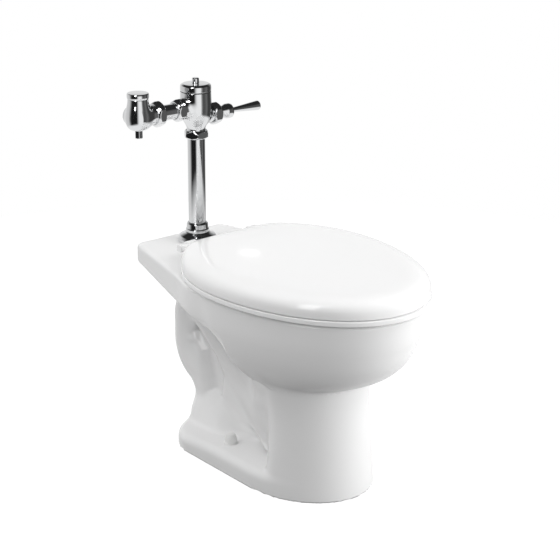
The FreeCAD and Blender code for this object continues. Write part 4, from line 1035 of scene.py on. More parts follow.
    def base(self, x: Array, y: Array, z: Array) -> Array:
        """Field of the foot, the hump over the outlet and the horn.

        Args:
            x: Places across.
            y: Places along.
            z: Heights.

        Returns:
            The field.
        """
        joins = self.joins
        front = np.where(y < self.foot_front_y, (y - self.foot_front_y) / self.foot_front, 0.0)
        along = np.where(y > self.foot_rear_y, (y - self.foot_rear_y) / self.foot_rear, front)
        plan = (np.sqrt((x / self.foot_half) ** 2 + along**2) - 1) * self.foot_reach
        top = z - self.foot_top + self.foot_slope * np.maximum(y, 0.0)
        foot = soft_max(plan, top, joins.foot_edge)
        hump = tube_field(x, y, z, self.hump_line, self.hump_r)
        horn = tube_field(x, y, z, self.horn_line, self.horn_r)
        return soft_min(foot, soft_min(hump, horn, joins.horn), joins.hump)

    def stem(self, x: Array, y: Array, z: Array) -> Array:
        """Field of the trapway with the walls beside it, the neck and the sump.

        Args:
            x: Places across.
            y: Places along.
            z: Heights.

        Returns:
            The field.
        """
        joins = self.joins
        trap = tube_field(x, y, z, rounded_path(self.route + (self.leg_end,), False, 12), self.trap_r)
        web = soft_max(polygon_field(y, z, self.web), np.abs(x) - self.web_half, joins.web_edge)
        cheek = soft_max(polygon_field(y, z, self.cheek), np.abs(x) - self.cheek_half, joins.cheek_edge)
        web = soft_min(web, cheek, joins.cheek)
        ends = np.maximum(self.neck.z - z, z - self.neck_top)
        neck = soft_max(level_field(x, y, self.neck), ends, joins.neck_edge)
        ends = np.maximum(self.sump[0].z - z, z - self.sump[-1].z)
        sump = np.maximum(loft_field(x, y, z, self.sump), ends)
        stem = soft_min(soft_min(trap, web, joins.web), neck, joins.neck)
        stem = soft_min(stem, sump, joins.sump)
        dent = soft_max(polygon_field(y, z, self.recess), self.recess_half - np.abs(x), joins.recess_edge)
        return soft_max(stem, -dent, joins.recess)

    def lower(self, x: Array, y: Array, z: Array) -> Array:
        """Field of the front column, the trapway behind it and the foot under both.

        Args:
            x: Places across.
            y: Places along.
            z: Heights.

        Returns:
            The field.
        """
        joins = self.joins
        rear = y - self.column_rear + self.column_lean * z / self.crease_z
        column = soft_max(loft_field(x, y, z, self.pedestal), rear, joins.column_rear)
        column = np.maximum(column, z - self.column_top)
        stem = soft_min(self.stem(x, y, z), column, joins.column)
        return soft_min(stem, self.base(x, y, z), joins.foot)

    def hollow(self, x: Array, y: Array, z: Array) -> Array:
        """Field of the basin, rim mouth, passage, spud hole and the hollow under the foot.

        Args:
            x: Places across.
            y: Places along.
            z: Heights.

        Returns:
            The field.
        """
        joins = self.joins
        ends = np.maximum(z - self.inner[-1].z, self.inner[0].z - z)
        basin = soft_max(loft_field(self.tapered(x, y, z), y, z, self.inner), ends, joins.basin_edge)
        skirt = np.maximum(level_field(x, y, self.skirt), self.skirt.z - z)
        mouth = np.maximum(level_field(x, y, self.mouth), self.mouth.z - z)
        space = soft_min(soft_max(basin, -skirt, joins.skirt_edge), mouth, joins.mouth)
        passage = tube_field(x, y, z, rounded_path(self.route + self.outlet, False, 8), self.passage_r)
        space = soft_min(space, passage, joins.passage)
        spud = np.maximum(np.sqrt(x**2 + (y - self.spud_y) ** 2) - self.spud_r, self.spud_low - z)
        under = np.maximum(level_field(x, y, self.under), z - self.under.z)
        return np.minimum(np.minimum(space, spud), np.maximum(under, y - self.under_rear))

    def solid(self, x: Array, y: Array, z: Array) -> Array:
        """Field of the whole china.

        Args:
            x: Places across.
            y: Places along.
            z: Heights.

        Returns:
            The field.
        """
        body = soft_min(self.upper(x, y, z), self.lower(x, y, z), self.joins.upper)
        body = np.maximum(body, -z)
        return soft_max(body, -self.hollow(x, y, z), self.joins.opening_edge)

    def build(self) -> None:
        """Makes the china."""
        sheet, normals = field_mesh(self.solid, self.low, self.high, self.step)
        add_piece("china", sheet, CHINA, Body.BASE, nodes_of("china"), normals)


# Seat and lid


OVAL_STEPS = 144
# Size of the tiny ring that closes a surface at its middle, as a share of the full outline.
TIP_SHARE = 0.002


@dataclass
class Oval:
    """Outline of the seat and lid: two half ellipses, cut straight across at the rear."""

    half: float
    mid: float
    front: float
    rear: float
    flat: float = math.inf
    corner: float = 17.0

    def ring(self, inset: float, height: float, share: float = 1.0) -> Array:
        """Points of the outline drawn in by an inset.

        Args:
            inset: Distance drawn in.
            height: Height of the ring.
            share: Scale about the middle.

        Returns:
            The points, anticlockwise from above.
        """
        turn = np.arange(OVAL_STEPS) * 2 * math.pi / OVAL_STEPS
        x = (self.half - inset) * np.cos(turn)
        away = np.sin(turn)
        along = np.where(away > 0, self.rear - inset, self.front - inset) * away
        if self.flat < math.inf:
            along = soft_min(along, np.full(OVAL_STEPS, self.flat - inset), self.corner)
        return np.stack([x * share, self.mid + along * share, np.full(OVAL_STEPS, height)], axis=1)


@dataclass
class SeatAndLid:
    """The seat ring, the domed lid over it and their hinge."""

    # The seat: inset and height of each ring around its outer edge and around its hole.
    seat_oval: Oval = field(default_factory=lambda: Oval(185.0, -88.0, 272.0, 220.5, 193.5))
    seat_edge: tuple[Spot, ...] = (
        (5.0, 359.5), (1.6, 359.7), (0.3, 360.6), (0.0, 362.0), (0.0, 362.8), (0.0, 366.6), (0.0, 367.4),
        (0.3, 368.0), (0.9, 368.3), (14.0, 368.4), (19.0, 370.5), (25.0, 373.8), (30.0, 374.5),
    )
    hole: Oval = field(default_factory=lambda: Oval(112.0, -140.0, 148.0, 140.0))
    hole_edge: tuple[Spot, ...] = (
        (-8.0, 374.4), (-3.5, 373.6), (-1.0, 371.6), (0.0, 368.0), (0.0, 363.0), (-1.2, 360.4), (-4.0, 359.5),
    )
    # The lid: its hollow, its lip and the crown, which is rounded over the width of the pillow.
    lid_oval: Oval = field(default_factory=lambda: Oval(184.8, -88.0, 269.0, 220.0, 194.0))
    hollow_top: float = 394.0
    hollow_inset: float = 10.0
    hollow_shares: tuple[float, ...] = (TIP_SHARE, 0.5, 0.9)
    hollow_edge: tuple[Spot, ...] = ((13.0, 394.0), (10.4, 393.0), (10.0, 391.0), (10.0, 371.5))
    lid_low: float = 370.0
    lip: tuple[Spot, ...] = ((8.0, 0.0), (1.6, 0.0), (0.6, 0.4), (0.1, 1.2))
    lip_height: float = 2.4
    lid_top: float = 403.4
    dome: float = 1.6
    pillow: float = 62.0
    pillow_power: float = 3.1
    pillow_steps: int = 24
    dome_steps: int = 12
    boss_place: Spot = (140.0, -170.0)
    boss: tuple[Corner, ...] = ((0.0, 378.8, 0.0), (7.0, 378.8, 0.6), (7.0, 396.0, 0.0))
    # The hinge: ears of the seat and lid by where they start across and the underside of their arms.
    hinge_y: float = 120.0
    hinge_z: float = 378.0
    pin_hole_r: float = 4.05
    ear_r: float = 7.6
    ear_width: float = 15.4
    ear_cap: float = 2.0
    pin_gap: float = 0.2
    arm_reach: float = 34.0
    arm_depth: float = 10.0
    arm_edge: float = 1.2
    seat_ear: Spot = (44.3, 364.5)
    lid_ear: Spot = (80.3, 375.8)
    post_x: float = 70.0
    post_half: float = 10.0
    post_low: float = 357.0
    post_top: float = 380.0
    flange_r: float = 13.0
    flange_low: float = RIM_Z
    flange_top: float = 360.0

    def build(self) -> None:
        """Makes the seat, the lid and the hinge posts."""
        self.build_seat()
        self.build_lid()
        self.build_posts()

    def ears(self, place: Spot, capped: bool) -> Sheet:
        """Pair of hinge ears with arms that reach forward.

        Args:
            place: Where the right ear starts across, and the underside of the arms.
            capped: Whether the ears cover the ends of the pins.

        Returns:
            Both ears as one surface.
        """
        start_x, low_z = place
        width, hole = self.ear_width, self.pin_hole_r
        shape = [(hole, 0, 0.3), (self.ear_r, 0, 1.0), (self.ear_r, width, 1.0), (hole, width, 0.3)]
        if capped:
            bottom, end = width + self.pin_gap, width + self.ear_cap
            shape = [(0, bottom, 0), (hole, bottom, 0), (hole, 0, 0.3), (self.ear_r, 0, 1.0),
                     (self.ear_r, end, 1.4), (0, end, 0)]
        pair = None
        for side, axis in ((-1, Axis.LEFT), (1, Axis.RIGHT)):
            low_x = start_x if side > 0 else -start_x - width
            arm = box_sheet((low_x, self.hinge_y - self.arm_reach, low_z),
                            (low_x + width, self.hinge_y, low_z + self.arm_depth), self.arm_edge)
            barrel = turned_sheet(shape, (side * start_x, self.hinge_y, self.hinge_z), axis, segments=48)
            both = arm.joined(barrel)
            pair = both if pair is None else pair.joined(both)
        return pair

    def build_seat(self) -> None:
        """The ring that one sits on."""
        rings = [self.seat_oval.ring(inset, z) for inset, z in self.seat_edge]
        rings += [self.hole.ring(inset, z) for inset, z in self.hole_edge]
        sheet = Sheet(np.vstack(rings), strip_faces(len(rings), OVAL_STEPS, True))
        sheet = sheet.joined(self.ears(self.seat_ear, False))
        add_piece("seat", sheet, SEAT_PLASTIC, Body.SEAT, ["seat_ring"])

    def build_lid(self) -> None:
        """The hollow lid with a gently domed top."""
        oval = self.lid_oval
        rings = [oval.ring(self.hollow_inset, self.hollow_top, share) for share in self.hollow_shares]
        rings += [oval.ring(inset, z) for inset, z in self.hollow_edge]
        rings += [oval.ring(inset, self.lid_low + rise) for inset, rise in self.lip]
        start = self.lid_low + self.lip_height
        curve = 2 / self.pillow_power
        for step in range(self.pillow_steps + 1):
            turn = math.radians(90.0 * step / self.pillow_steps)
            inset = self.pillow * (1 - math.cos(turn) ** curve)
            rings.append(oval.ring(inset, start + (self.lid_top - start) * math.sin(turn) ** curve))
        for step in range(1, self.dome_steps + 1):
            away = 1 - step / self.dome_steps
            rise = self.lid_top + self.dome * (1 - away**2)
            rings.append(oval.ring(self.pillow, rise, max(away, TIP_SHARE)))
        sheet = Sheet(np.vstack(rings), strip_faces(len(rings), OVAL_STEPS, False))
        across, along = self.boss_place
        for side in (-1, 1):
            sheet = sheet.joined(turned_sheet(self.boss, (side * across, along, 0.0), segments=40))
        sheet = sheet.joined(self.ears(self.lid_ear, True))
        add_piece("lid_cover", sheet, SEAT_PLASTIC, Body.LID, ["lid"])

    def build_posts(self) -> None:
        """The two posts that carry the hinge pins."""
        half, y, rim = self.post_half, self.hinge_y, self.flange_r
        plate = [(0, self.flange_low, 0), (rim, self.flange_low, 0), (rim, self.flange_top, 1.5),
                 (0, self.flange_top, 0)]
        hole, width = self.pin_hole_r, 2 * half
        eye = [(hole, 0, 0.3), (half, 0, 1.2), (half, width, 1.2), (hole, width, 0.3)]
        for side, name in ((-1, "left"), (1, "right")):
            x = side * self.post_x
            flange = turned_sheet(plate, (x, y, 0.0), segments=56)
            block = box_sheet((x - half, y - half, self.post_low), (x + half, y + half, self.post_top), 1.0)
            barrel = turned_sheet(eye, (x - half, y, self.hinge_z), Axis.RIGHT, segments=56)
            post = flange.joined(block).joined(barrel)
            add_piece(f"post_{name}", post, SEAT_PLASTIC, Body.BASE, [f"hinge_post_{name}"])


@dataclass
class BoltCaps:
    """Domed caps over the floor bolts."""

    count: int = 2
    spacing: float = 152.4
    radius: float = 11.0
    wall: float = 1.0
    low_z: float = 37.6
    height: float = 17.0
    crown_r: float = 7.26

    def build(self) -> None:
        """Makes both caps as one piece."""
        rim, top, inside = self.radius, self.height, self.radius - self.wall
        corners = [(0, self.wall, 0), (inside, self.wall, 0), (inside, 0, 0), (rim, 0, 0.5),
                   (rim - 0.4, top / 2, 3.0), (self.crown_r, top, 5.0), (0, top, 0)]
        dome = turned_sheet(corners, (0.0, 0.0, self.low_z), segments=48)
        mesh = row_mesh("cap", dome, WHITE_PLASTIC, self.count, self.spacing)
        place_piece(mesh, Body.BASE, ["bolt_caps"])


# Flush valve


@dataclass(frozen=True)
class Turning:
    """A turned chrome piece: its outline, the CAD node that it replaces and how it is made."""

    name: str
    node: str
    outline: tuple[Corner, ...]
    axis: Axis = Axis.UP
    flats: float | None = None
    segments: int = 96
    body: Body = Body.BASE

    def build(self, centre: Point) -> None:
        """Makes the piece.

        Args:
            centre: Where height 0 on its axis is.
        """
        sheet = turned_sheet(self.outline, centre, self.axis, self.flats, self.segments)
        add_piece(self.name, sheet, CHROME, self.body, [self.node])


@dataclass
class FlushTube:
    """The cover and slip joint on the deck, the tube and the nut under the valve."""

    y: float = VALVE_Y
    pieces: tuple[Turning, ...] = (
        Turning("cover", "spud_cover", (
            (34.0, 356.0, 0), (36.2, 356.0, 0.4), (36.6, 362.0, 4.0), (33.0, 368.0, 5.0), (24.5, 371.4, 3.0),
            (22.0, 374.0, 0.8), (18.1, 374.0, 0), (18.1, 371.0, 0), (31.5, 363.8, 2.0), (34.0, 360.0, 1.0),
        )),
        Turning("slip_nut", "spud_nut", (
            (18.0, 374.3, 0), (21.6, 374.3, 0.8), (21.6, 379.5, 1.2), (20.2, 381.0, 1.0), (19.7, 389.4, 1.0),
            (17.8, 391.8, 0.8), (16.3, 391.8, 0.2), (16.3, 389.4, 0), (18.0, 389.4, 0),
        )),
        Turning("tube", "flush_tube", (
            (14.8, 364.0, 0), (16.0, 364.0, 0.2), (16.0, 554.0, 0), (18.2, 554.0, 0), (18.2, 556.0, 0),
            (14.8, 556.0, 0),
        )),
        Turning("tube_coupling", "tube_nut", (
            (16.3, 551.0, 0.3), (18.8, 551.0, 1.2), (23.4, 554.4, 2.0), (23.4, 561.0, 2.4),
            (19.6, 565.7, 1.8), (18.6, 565.7, 0.2), (18.6, 553.6, 0), (16.3, 553.6, 0),
        ), flats=41.0, segments=120),
    )

    def build(self) -> None:
        """Makes the chromed pieces from the deck up to the valve."""
        for piece in self.pieces:
            piece.build((0.0, self.y, 0.0))


@dataclass
class ValveBody:
    """The cast body of the flush valve, its cap and the regulating screw."""

    y: float = VALVE_Y
    step: float = 1.1
    low: Point = (-46.0, 162.0, 549.0)
    high: Point = (42.0, 226.0, 641.0)
    # Height and radius down the barrel and its cone.
    shell: tuple[Spot, ...] = (
        (553.0, 18.5), (564.0, 18.4), (567.0, 17.0), (573.0, 18.0), (582.0, 22.6), (590.0, 26.6),
        (597.0, 28.0), (637.0, 28.0),
    )
    inlet_z: float = INLET_Z
    inlet_r: float = 17.0
    inlet_reach: float = 42.0
    handle_z: float = HANDLE_Z
    handle_r: float = 15.0
    handle_reach: float = 38.0
    edge: float = 1.0
    boss_join: float = 9.0
    cap: Turning = Turning("valve_lid", "valve_cap", (
        (5.05, 635.0, 0), (23.9, 635.0, 0), (23.9, 638.0, 0), (28.0, 638.0, 0.5), (28.2, 642.5, 1.0),
        (27.8, 648.5, 3.0), (23.6, 651.0, 3.0), (8.0, 651.6, 0.5), (5.05, 651.0, 0),
    ))
    screw: Turning = Turning("regulator_screw", "regulating_screw", (
        (0, 635.0, 0), (5.0, 635.0, 0), (5.0, 651.3, 0), (6.4, 651.3, 0.3), (6.4, 660.2, 1.2),
        (4.6, 661.3, 0.5), (0, 661.3, 0),
    ), segments=56, body=Body.REGULATOR)

    def solid(self, x: Array, y: Array, z: Array) -> Array:
        """Field of the body with its inlet and handle bosses.

        Args:
            x: Places across.
            y: Places along.
            z: Heights.

        Returns:
            The field.
        """
        across = y - self.y
        barrel = np.sqrt(x**2 + across**2) - radius_at(z, self.shell)
        ends = np.maximum(z - self.shell[-1][0], self.shell[0][0] - z)
        barrel = soft_max(barrel, ends, self.edge)
        inlet = np.sqrt(across**2 + (z - self.inlet_z) ** 2) - self.inlet_r
        inlet = soft_max(inlet, np.maximum(x, -self.inlet_reach - x), self.edge)
        handle = np.sqrt(across**2 + (z - self.handle_z) ** 2) - self.handle_r
        handle = soft_max(handle, np.maximum(-x, x - self.handle_reach), self.edge)
        return soft_min(soft_min(barrel, inlet, self.boss_join), handle, self.boss_join)

    def build(self) -> None:
        """Makes the body, cap and screw."""
        sheet, normals = field_mesh(self.solid, self.low, self.high, self.step)
        add_piece("valve_casting", sheet, CHROME, Body.BASE, ["valve_body"], normals)
        for piece in (self.cap, self.screw):
            piece.build((0.0, self.y, 0.0))


@dataclass
class Handle:
    """The lever with its flared socket and the nut that holds it."""

    y: float = VALVE_Y
    z: float = HANDLE_Z
    nut_x: float = 33.0
    nut: Turning = Turning("lever_nut", "handle_nut", (
        (15.1, 0, 0.3), (17.4, 0, 0.8), (20.2, 2.2, 1.2), (20.2, 13.0, 1.5), (15.8, 18.0, 1.6),
        (8.5, 18.0, 0.5), (8.5, 15.6, 0), (15.1, 15.6, 0),
    ), Axis.RIGHT, flats=36.0, segments=120)
    socket_x: float = 39.0
    socket: Turning = Turning("lever_socket", "handle_socket", (
        (12.0, 0, 0), (14.5, 0, 0.3), (14.5, 9.5, 0), (8.2, 9.5, 0), (8.2, 14.0, 2.0), (10.6, 21.0, 6.0),
        (13.3, 28.0, 4.0), (13.8, 35.0, 3.0), (12.9, 39.0, 1.2), (11.8, 39.0, 0.6), (6.6, 7.3, 0),
        (12.0, 7.3, 0),
    ), Axis.RIGHT)
    lever_x: float = 43.0
    lever: Turning = Turning("lever", "handle_lever", (
        (0, 0, 0), (10.0, 0, 0.5), (10.0, 3.0, 0.5), (3.6, 3.0, 1.0), (3.5, 32.0, 8.0), (4.5, 46.0, 10.0),
        (8.6, 95.0, 5.0), (8.9, 99.6, 2.0), (7.6, 102.0, 1.6), (0, 102.0, 0),
    ), Axis.RIGHT, segments=72, body=Body.HANDLE)

    def build(self) -> None:
        """Makes the nut, socket and lever."""
        for piece, x in ((self.nut, self.nut_x), (self.socket, self.socket_x), (self.lever, self.lever_x)):
            piece.build((x, self.y, self.z))


@dataclass
class ControlStop:
    """The tailpiece with its nuts, and the control stop at its end."""

    x: float = -126.0
    y: float = VALVE_Y
    z: float = INLET_Z
    step: float = 1.0
    low: Point = (-154.0, 166.0, 580.0)
    high: Point = (-80.0, 224.0, 645.0)
    # Height and radius of the barrel, and the share that its slope leaves of a level distance.
    barrel: tuple[Spot, ...] = (
        (584.0, 9.0), (586.0, 14.0), (589.0, 18.0), (594.0, 21.2), (601.0, 22.7), (612.0, 22.6),
        (622.0, 21.2), (632.0, 19.2), (641.0, 18.2),
    )
    barrel_share: float = 0.9
    barrel_edge: float = 1.2
    outlet_r: float = 17.0
    outlet_end: float = -84.0
    outlet_join: float = 10.0
    supply_r: float = 16.5
    supply_reach: float = 25.0
    supply_join: float = 7.0
    edge: float = 1.0
    bore_r: float = 13.2
    bore_start: float = 13.0
    tail_x: float = -30.1
    tail: Turning = Turning("tail", "tailpiece", (
        (11.0, 0, 0), (14.0, 0, 0.4), (14.0, 48.9, 0), (16.0, 48.9, 0.2), (16.0, 51.9, 0.2), (11.0, 51.9, 0),
    ), Axis.LEFT, segments=72)
    nut_x: float = -32.1
    nut: Turning = Turning("tail_nut", "tailpiece_nut", (
        (17.1, 0, 0.2), (18.0, 0, 0.4), (20.4, 2.6, 1.4), (20.4, 12.0, 2.0), (16.6, 17.0, 2.0),
        (14.3, 17.0, 0.4), (14.3, 10.0, 0), (17.1, 10.0, 0),
    ), Axis.LEFT, flats=36.4, segments=120)
    coupling_x: float = -76.5
    coupling: Turning = Turning("stop_coupling", "stop_nut", (
        (14.3, 0, 0.4), (18.0, 0, 2.0), (23.4, 5.0, 3.0), (23.4, 13.0, 3.0), (19.0, 18.0, 2.0),
        (17.1, 18.0, 0.3), (17.1, 2.4, 0), (14.3, 2.4, 0),
    ), Axis.LEFT, flats=42.0, segments=120)
    cap: Turning = Turning("stop_top", "stop_cap", (
        (0, 636.0, 0), (12.9, 636.0, 0), (12.9, 641.0, 0), (18.9, 641.0, 0.6), (19.6, 644.0, 1.5),
        (19.6, 648.6, 1.0), (18.6, 651.0, 1.2), (0, 651.0, 0),
    ))
    screw: Turning = Turning("stop_spindle", "stop_screw", (
        (0, 570.0, 0), (6.2, 570.0, 0.8), (7.3, 571.0, 0.5), (7.3, 583.7, 0.4), (5.0, 583.7, 0),
        (5.0, 635.0, 0), (0, 635.0, 0),
    ), flats=13.0, segments=72, body=Body.STOP_SCREW)

    def solid(self, x: Array, y: Array, z: Array) -> Array:
        """Field of the stop's body with its outlet and supply bosses.

        Args:
            x: Places across.
            y: Places along.
            z: Heights.

        Returns:
            The field.
        """
        barrel = np.sqrt((x - self.x) ** 2 + (y - self.y) ** 2) - radius_at(z, self.barrel)
        ends = np.maximum(z - self.barrel[-1][0], self.barrel[0][0] - z)
        barrel = soft_max(barrel * self.barrel_share, ends, self.barrel_edge)
        outlet = np.sqrt((y - self.y) ** 2 + (z - self.z) ** 2) - self.outlet_r
        outlet = soft_max(outlet, np.maximum(self.x - x, x - self.outlet_end), self.edge)
        supply = np.sqrt((x - self.x) ** 2 + (z - self.z) ** 2)
        ends = np.maximum(self.y - y, y - self.y - self.supply_reach)
        boss = soft_max(supply - self.supply_r, ends, self.edge)
        body = soft_min(soft_min(barrel, outlet, self.outlet_join), boss, self.supply_join)
        bore = np.maximum(supply - self.bore_r, self.y + self.bore_start - y)
        return np.maximum(body, -bore)

    def build(self) -> None:
        """Makes the pieces between the valve and the supply."""
        for piece, x in ((self.tail, self.tail_x), (self.nut, self.nut_x), (self.coupling, self.coupling_x)):
            piece.build((x, self.y, self.z))
        sheet, normals = field_mesh(self.solid, self.low, self.high, self.step)
        add_piece("stop_casting", sheet, CHROME, Body.BASE, ["stop_body"], normals)
        for piece in (self.cap, self.screw):
            piece.build((self.x, self.y, 0.0))


# Stage


@dataclass(frozen=True)
class Lamp:
    """A soft lamp: turned from the camera's side, positive to the right of the picture."""

    name: str
    turn: float
    height: float
    distance: float
    size: tuple[float, float]
    power: float
    # Whether it is for gloss only; the other lamps light dull surfaces only.
    mirrored: bool = False


@dataclass
class Studio:
    """Plain pale floor, soft light and the photo's view."""

    # The camera, fitted to the photo.
    eye: Point = (-1.6434, -1.9996, 1.2470)
    azimuth: float = -39.42
    elevation: float = 20.10
    roll: float = 0.13
    lens: float = 99.64
    sensor: float = 36.0
    shift: Spot = (0.0287, 0.0289)
    # The floor: the colour that it throws back, the strength of the shadow on it, and where its
    # mirror image fades out.
    floor_radius: float = 1.6
    floor_sides: int = 96
    floor_colour: str = "#6A6A6A"
    floor_shadow: float = 0.10
    floor_fade: Spot = (0.90, 1.40)
    # The light on dull surfaces, and what gloss mirrors around it and above; the ceiling comes in
    # between two heights, as sines.
    fill: float = 0.61
    surround: float = 1.05
    ceiling: float = 0.025
    ceiling_rise: Spot = (0.25, 0.6)
    # Where the lamps point.
    middle: Point = (0.0, -0.05, 0.3)
    lamps: tuple[Lamp, ...] = (
        Lamp("front_right", 52.0, 2.0, 2.6, (1.2, 1.2), 7.0),
        Lamp("right_low", 80.0, 2.0, 2.6, (1.2, 1.2), 37.0),
        Lamp("right_high", 80.0, 50.0, 2.6, (1.2, 1.2), 16.0),
        Lamp("left_low", -72.0, 25.0, 2.6, (1.2, 1.2), 6.5),
        Lamp("left_high", -85.0, 58.0, 2.6, (1.2, 1.2), 18.0),
        Lamp("glint_back", 182.3, 21.0, 3.0, (0.08, 0.02), 0.015, True),
        Lamp("glint_front", -31.0, 38.0, 2.6, (0.6, 2.2), 22.0, True),
    )
    # Light and dark cards that the chrome mirrors: turn around the object and brightness.
    cards: tuple[Spot, ...] = (
        (0.000, 0.012), (0.120, 0.012), (0.160, 0.75), (0.185, 1.0), (0.250, 1.0), (0.275, 0.30),
        (0.305, 0.08), (0.345, 0.10), (0.385, 0.16), (0.435, 0.05), (0.510, 0.06), (0.570, 0.35),
        (0.640, 0.80), (0.720, 0.80), (0.800, 0.72), (0.885, 0.66), (0.925, 0.35), (0.960, 0.05),
        (0.985, 0.012),
    )

    def build(self) -> None:
        """Makes the floor, world, lamps and camera."""
        self.build_floor()
        self.build_world()
        for lamp in self.lamps:
            self.add_lamp(lamp)
        self.build_camera()
        bpy.context.scene.view_settings.view_transform = "Standard"

    def mirrored(self, tree: bpy.types.NodeTree, path: bpy.types.Node) -> bpy.types.NodeSocket:
        """Share of a ray that metal or glass sends on.

        Args:
            tree: Node tree that gets the node.
            path: Its light path node.

        Returns:
            One for mirrored and refracted rays, otherwise zero.
        """
        either = add_node(tree, "ShaderNodeMath")
        either.operation = "MAXIMUM"
        tree.links.new(path.outputs["Is Glossy Ray"], either.inputs[0])
        tree.links.new(path.outputs["Is Transmission Ray"], either.inputs[1])
        return either.outputs["Value"]

    def build_floor(self) -> None:
        """The pale floor: a disc that looks nearly as white as the backdrop and keeps a faint shadow."""
        count = self.floor_sides
        turn = np.arange(count) * 2 * math.pi / count
        points = np.stack([np.cos(turn), np.sin(turn), np.zeros(count)], axis=1) * self.floor_radius
        mesh = bpy.data.meshes.new("floor")
        mesh.from_pydata(points.tolist(), [], [tuple(range(count))])
        material = bpy.data.materials.new("white_floor")
        material.use_nodes = True
        tree = material.node_tree
        tree.nodes.clear()
        bounce = add_node(tree, "ShaderNodeBsdfDiffuse", Color=linear_colour(self.floor_colour))
        paint = add_node(tree, "ShaderNodeBsdfDiffuse", Color=WHITE)
        glow = add_node(tree, "ShaderNodeEmission", Color=WHITE, Strength=1.0)
        bright = add_node(tree, "ShaderNodeEmission", Color=WHITE, Strength=1.0 + self.floor_shadow)
        path = add_node(tree, "ShaderNodeLightPath")
        place = add_node(tree, "ShaderNodeTexCoord")
        away = add_node(tree, "ShaderNodeVectorMath")
        away.operation = "LENGTH"
        tree.links.new(place.outputs["Object"], away.inputs[0])
        near, far = self.floor_fade
        fade = add_node(tree, "ShaderNodeMapRange", Value=away.outputs["Value"], From_Min=near, From_Max=far,
                        To_Min=0.0, To_Max=1.0)
        beyond = add_node(tree, "ShaderNodeBsdfTransparent")
        glass = add_node(tree, "ShaderNodeMixShader", Fac=fade.outputs["Result"])
        tree.links.new(glow.outputs["Emission"], glass.inputs[1])
        tree.links.new(beyond.outputs["BSDF"], glass.inputs[2])
        unseen = add_node(tree, "ShaderNodeMixShader", Fac=self.mirrored(tree, path))
        tree.links.new(bounce.outputs["BSDF"], unseen.inputs[1])
        tree.links.new(glass.outputs["Shader"], unseen.inputs[2])
        seen = add_node(tree, "ShaderNodeMixShader", Fac=self.floor_shadow)
        tree.links.new(bright.outputs["Emission"], seen.inputs[1])
        tree.links.new(paint.outputs["BSDF"], seen.inputs[2])
        both = add_node(tree, "ShaderNodeMixShader", Fac=path.outputs["Is Camera Ray"])
        tree.links.new(unseen.outputs["Shader"], both.inputs[1])
        tree.links.new(seen.outputs["Shader"], both.inputs[2])
        output = add_node(tree, "ShaderNodeOutputMaterial")
        tree.links.new(both.outputs["Shader"], output.inputs["Surface"])
        mesh.materials.append(material)
        floor = bpy.data.objects.new("floor", mesh)
        bpy.context.scene.collection.objects.link(floor)

    def build_world(self) -> None:
        """White to the camera, an even fill to dull surfaces, and the cards to mirrored rays."""
        world = bpy.data.worlds.new("studio")
        bpy.context.scene.world = world
        world.use_nodes = True
        tree = world.node_tree
        tree.nodes.clear()
        place = add_node(tree, "ShaderNodeTexCoord")
        parts = add_node(tree, "ShaderNodeSeparateXYZ", Vector=place.outputs["Generated"])
        angle = add_node(tree, "ShaderNodeMath")
        angle.operation = "ARCTAN2"
        tree.links.new(parts.outputs["Y"], angle.inputs[0])
        tree.links.new(parts.outputs["X"], angle.inputs[1])
        turn = add_node(tree, "ShaderNodeMapRange", Value=angle.outputs["Value"],
                        From_Min=-math.pi, From_Max=math.pi, To_Min=0.0, To_Max=1.0)
        cards = add_node(tree, "ShaderNodeValToRGB", Fac=turn.outputs["Result"])
        ramp = cards.color_ramp
        while len(ramp.elements) < len(self.cards):
            ramp.elements.new(0.5)
        for element, (position, level) in zip(ramp.elements, self.cards):
            element.position = position
            shade = level * self.surround
            element.color = (shade, shade, shade, 1.0)
        low, high = self.ceiling_rise
        height = add_node(tree, "ShaderNodeMapRange", Value=parts.outputs["Z"], From_Min=low, From_Max=high,
                          To_Min=0.0, To_Max=1.0)
        around = add_node(tree, "ShaderNodeMix")
        around.data_type = "RGBA"
        tree.links.new(height.outputs["Result"], around.inputs["Factor"])
        tree.links.new(cards.outputs["Color"], around.inputs[MIX_FIRST])
        around.inputs[MIX_SECOND].default_value = (self.ceiling, self.ceiling, self.ceiling, 1.0)
        studio = add_node(tree, "ShaderNodeBackground", Color=around.outputs[MIX_RESULT], Strength=1.0)
        fill = add_node(tree, "ShaderNodeBackground", Color=WHITE, Strength=self.fill)
        white = add_node(tree, "ShaderNodeBackground", Color=WHITE, Strength=1.0)
        path = add_node(tree, "ShaderNodeLightPath")
        lit = add_node(tree, "ShaderNodeMixShader", Fac=self.mirrored(tree, path))
        tree.links.new(fill.outputs["Background"], lit.inputs[1])
        tree.links.new(studio.outputs["Background"], lit.inputs[2])
        mix = add_node(tree, "ShaderNodeMixShader", Fac=path.outputs["Is Camera Ray"])
        tree.links.new(lit.outputs["Shader"], mix.inputs[1])
        tree.links.new(white.outputs["Background"], mix.inputs[2])
        output = add_node(tree, "ShaderNodeOutputWorld")
        tree.links.new(mix.outputs["Shader"], output.inputs["Surface"])

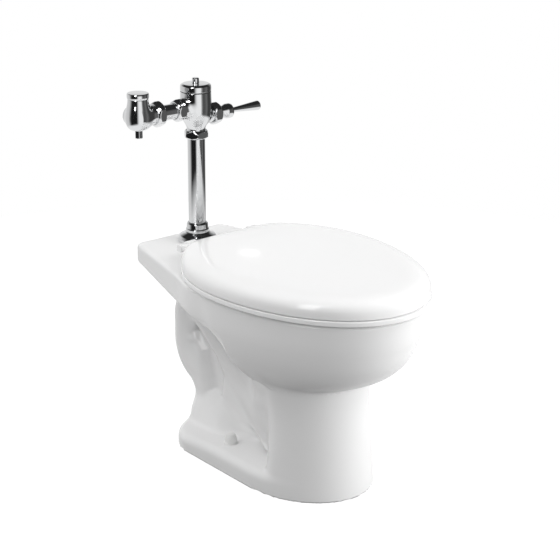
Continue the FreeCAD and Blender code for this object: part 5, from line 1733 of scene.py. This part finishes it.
    def add_lamp(self, lamp: Lamp) -> None:
        """Adds a rectangular lamp that faces the middle of the object.

        Args:
            lamp: Where it stands, how large it is and how bright.
        """
        light = bpy.data.lights.new(lamp.name, "AREA")
        light.shape = "RECTANGLE"
        light.size, light.size_y = lamp.size
        light.energy = lamp.power
        turn, rise = math.radians(self.azimuth - 90.0 + lamp.turn), math.radians(lamp.height)
        way = Vector((math.cos(turn) * math.cos(rise), math.sin(turn) * math.cos(rise), math.sin(rise)))
        place = Vector(self.middle) + way * lamp.distance
        holder = bpy.data.objects.new(lamp.name, light)
        holder.matrix_world = Matrix.Translation(place) @ way.to_track_quat("Z", "Y").to_matrix().to_4x4()
        holder.visible_glossy = lamp.mirrored
        holder.visible_diffuse = not lamp.mirrored
        bpy.context.scene.collection.objects.link(holder)

    def build_camera(self) -> None:
        """The photo's view, as fitted to it."""
        camera = bpy.data.cameras.new("photo_view")
        camera.lens = self.lens
        camera.sensor_width = self.sensor
        camera.shift_x, camera.shift_y = self.shift
        holder = bpy.data.objects.new("photo_view", camera)
        turn, tilt, lean = (math.radians(v) for v in (self.azimuth, self.elevation, self.roll))
        back = Vector((math.sin(turn) * math.cos(tilt), -math.cos(turn) * math.cos(tilt), math.sin(tilt)))
        level = Vector((math.cos(turn), math.sin(turn), 0.0))
        rise = back.cross(level)
        right = level * math.cos(lean) + rise * math.sin(lean)
        up = rise * math.cos(lean) - level * math.sin(lean)
        basis = Matrix((right, up, back)).transposed().to_4x4()
        holder.matrix_world = Matrix.Translation(self.eye) @ basis
        bpy.context.scene.collection.objects.link(holder)
        bpy.context.scene.camera = holder


def paint_frame() -> None:
    """Gives every CAD node the material of its record slot."""
    slots = {part["node"]: part["material_slot"] for part in frame["record"]["subparts"]}
    for name, node in frame["nodes"].items():
        material = make_material(SLOT_FINISHES[slots[name]])
        for slot in node.material_slots:
            slot.material = material


def main() -> None:
    """Builds every sub-assembly in order, then the stage."""
    logging.basicConfig(level=logging.INFO, format="%(message)s")
    paint_frame()
    bowl = (ChinaBowl(), SeatAndLid(), BoltCaps())
    valve = (FlushTube(), ValveBody(), Handle(), ControlStop())
    for assembly in bowl + valve:
        assembly.build()
        LOG.info("built %s", type(assembly).__name__)
    Studio().build()


if __name__ == "__main__":
    main()
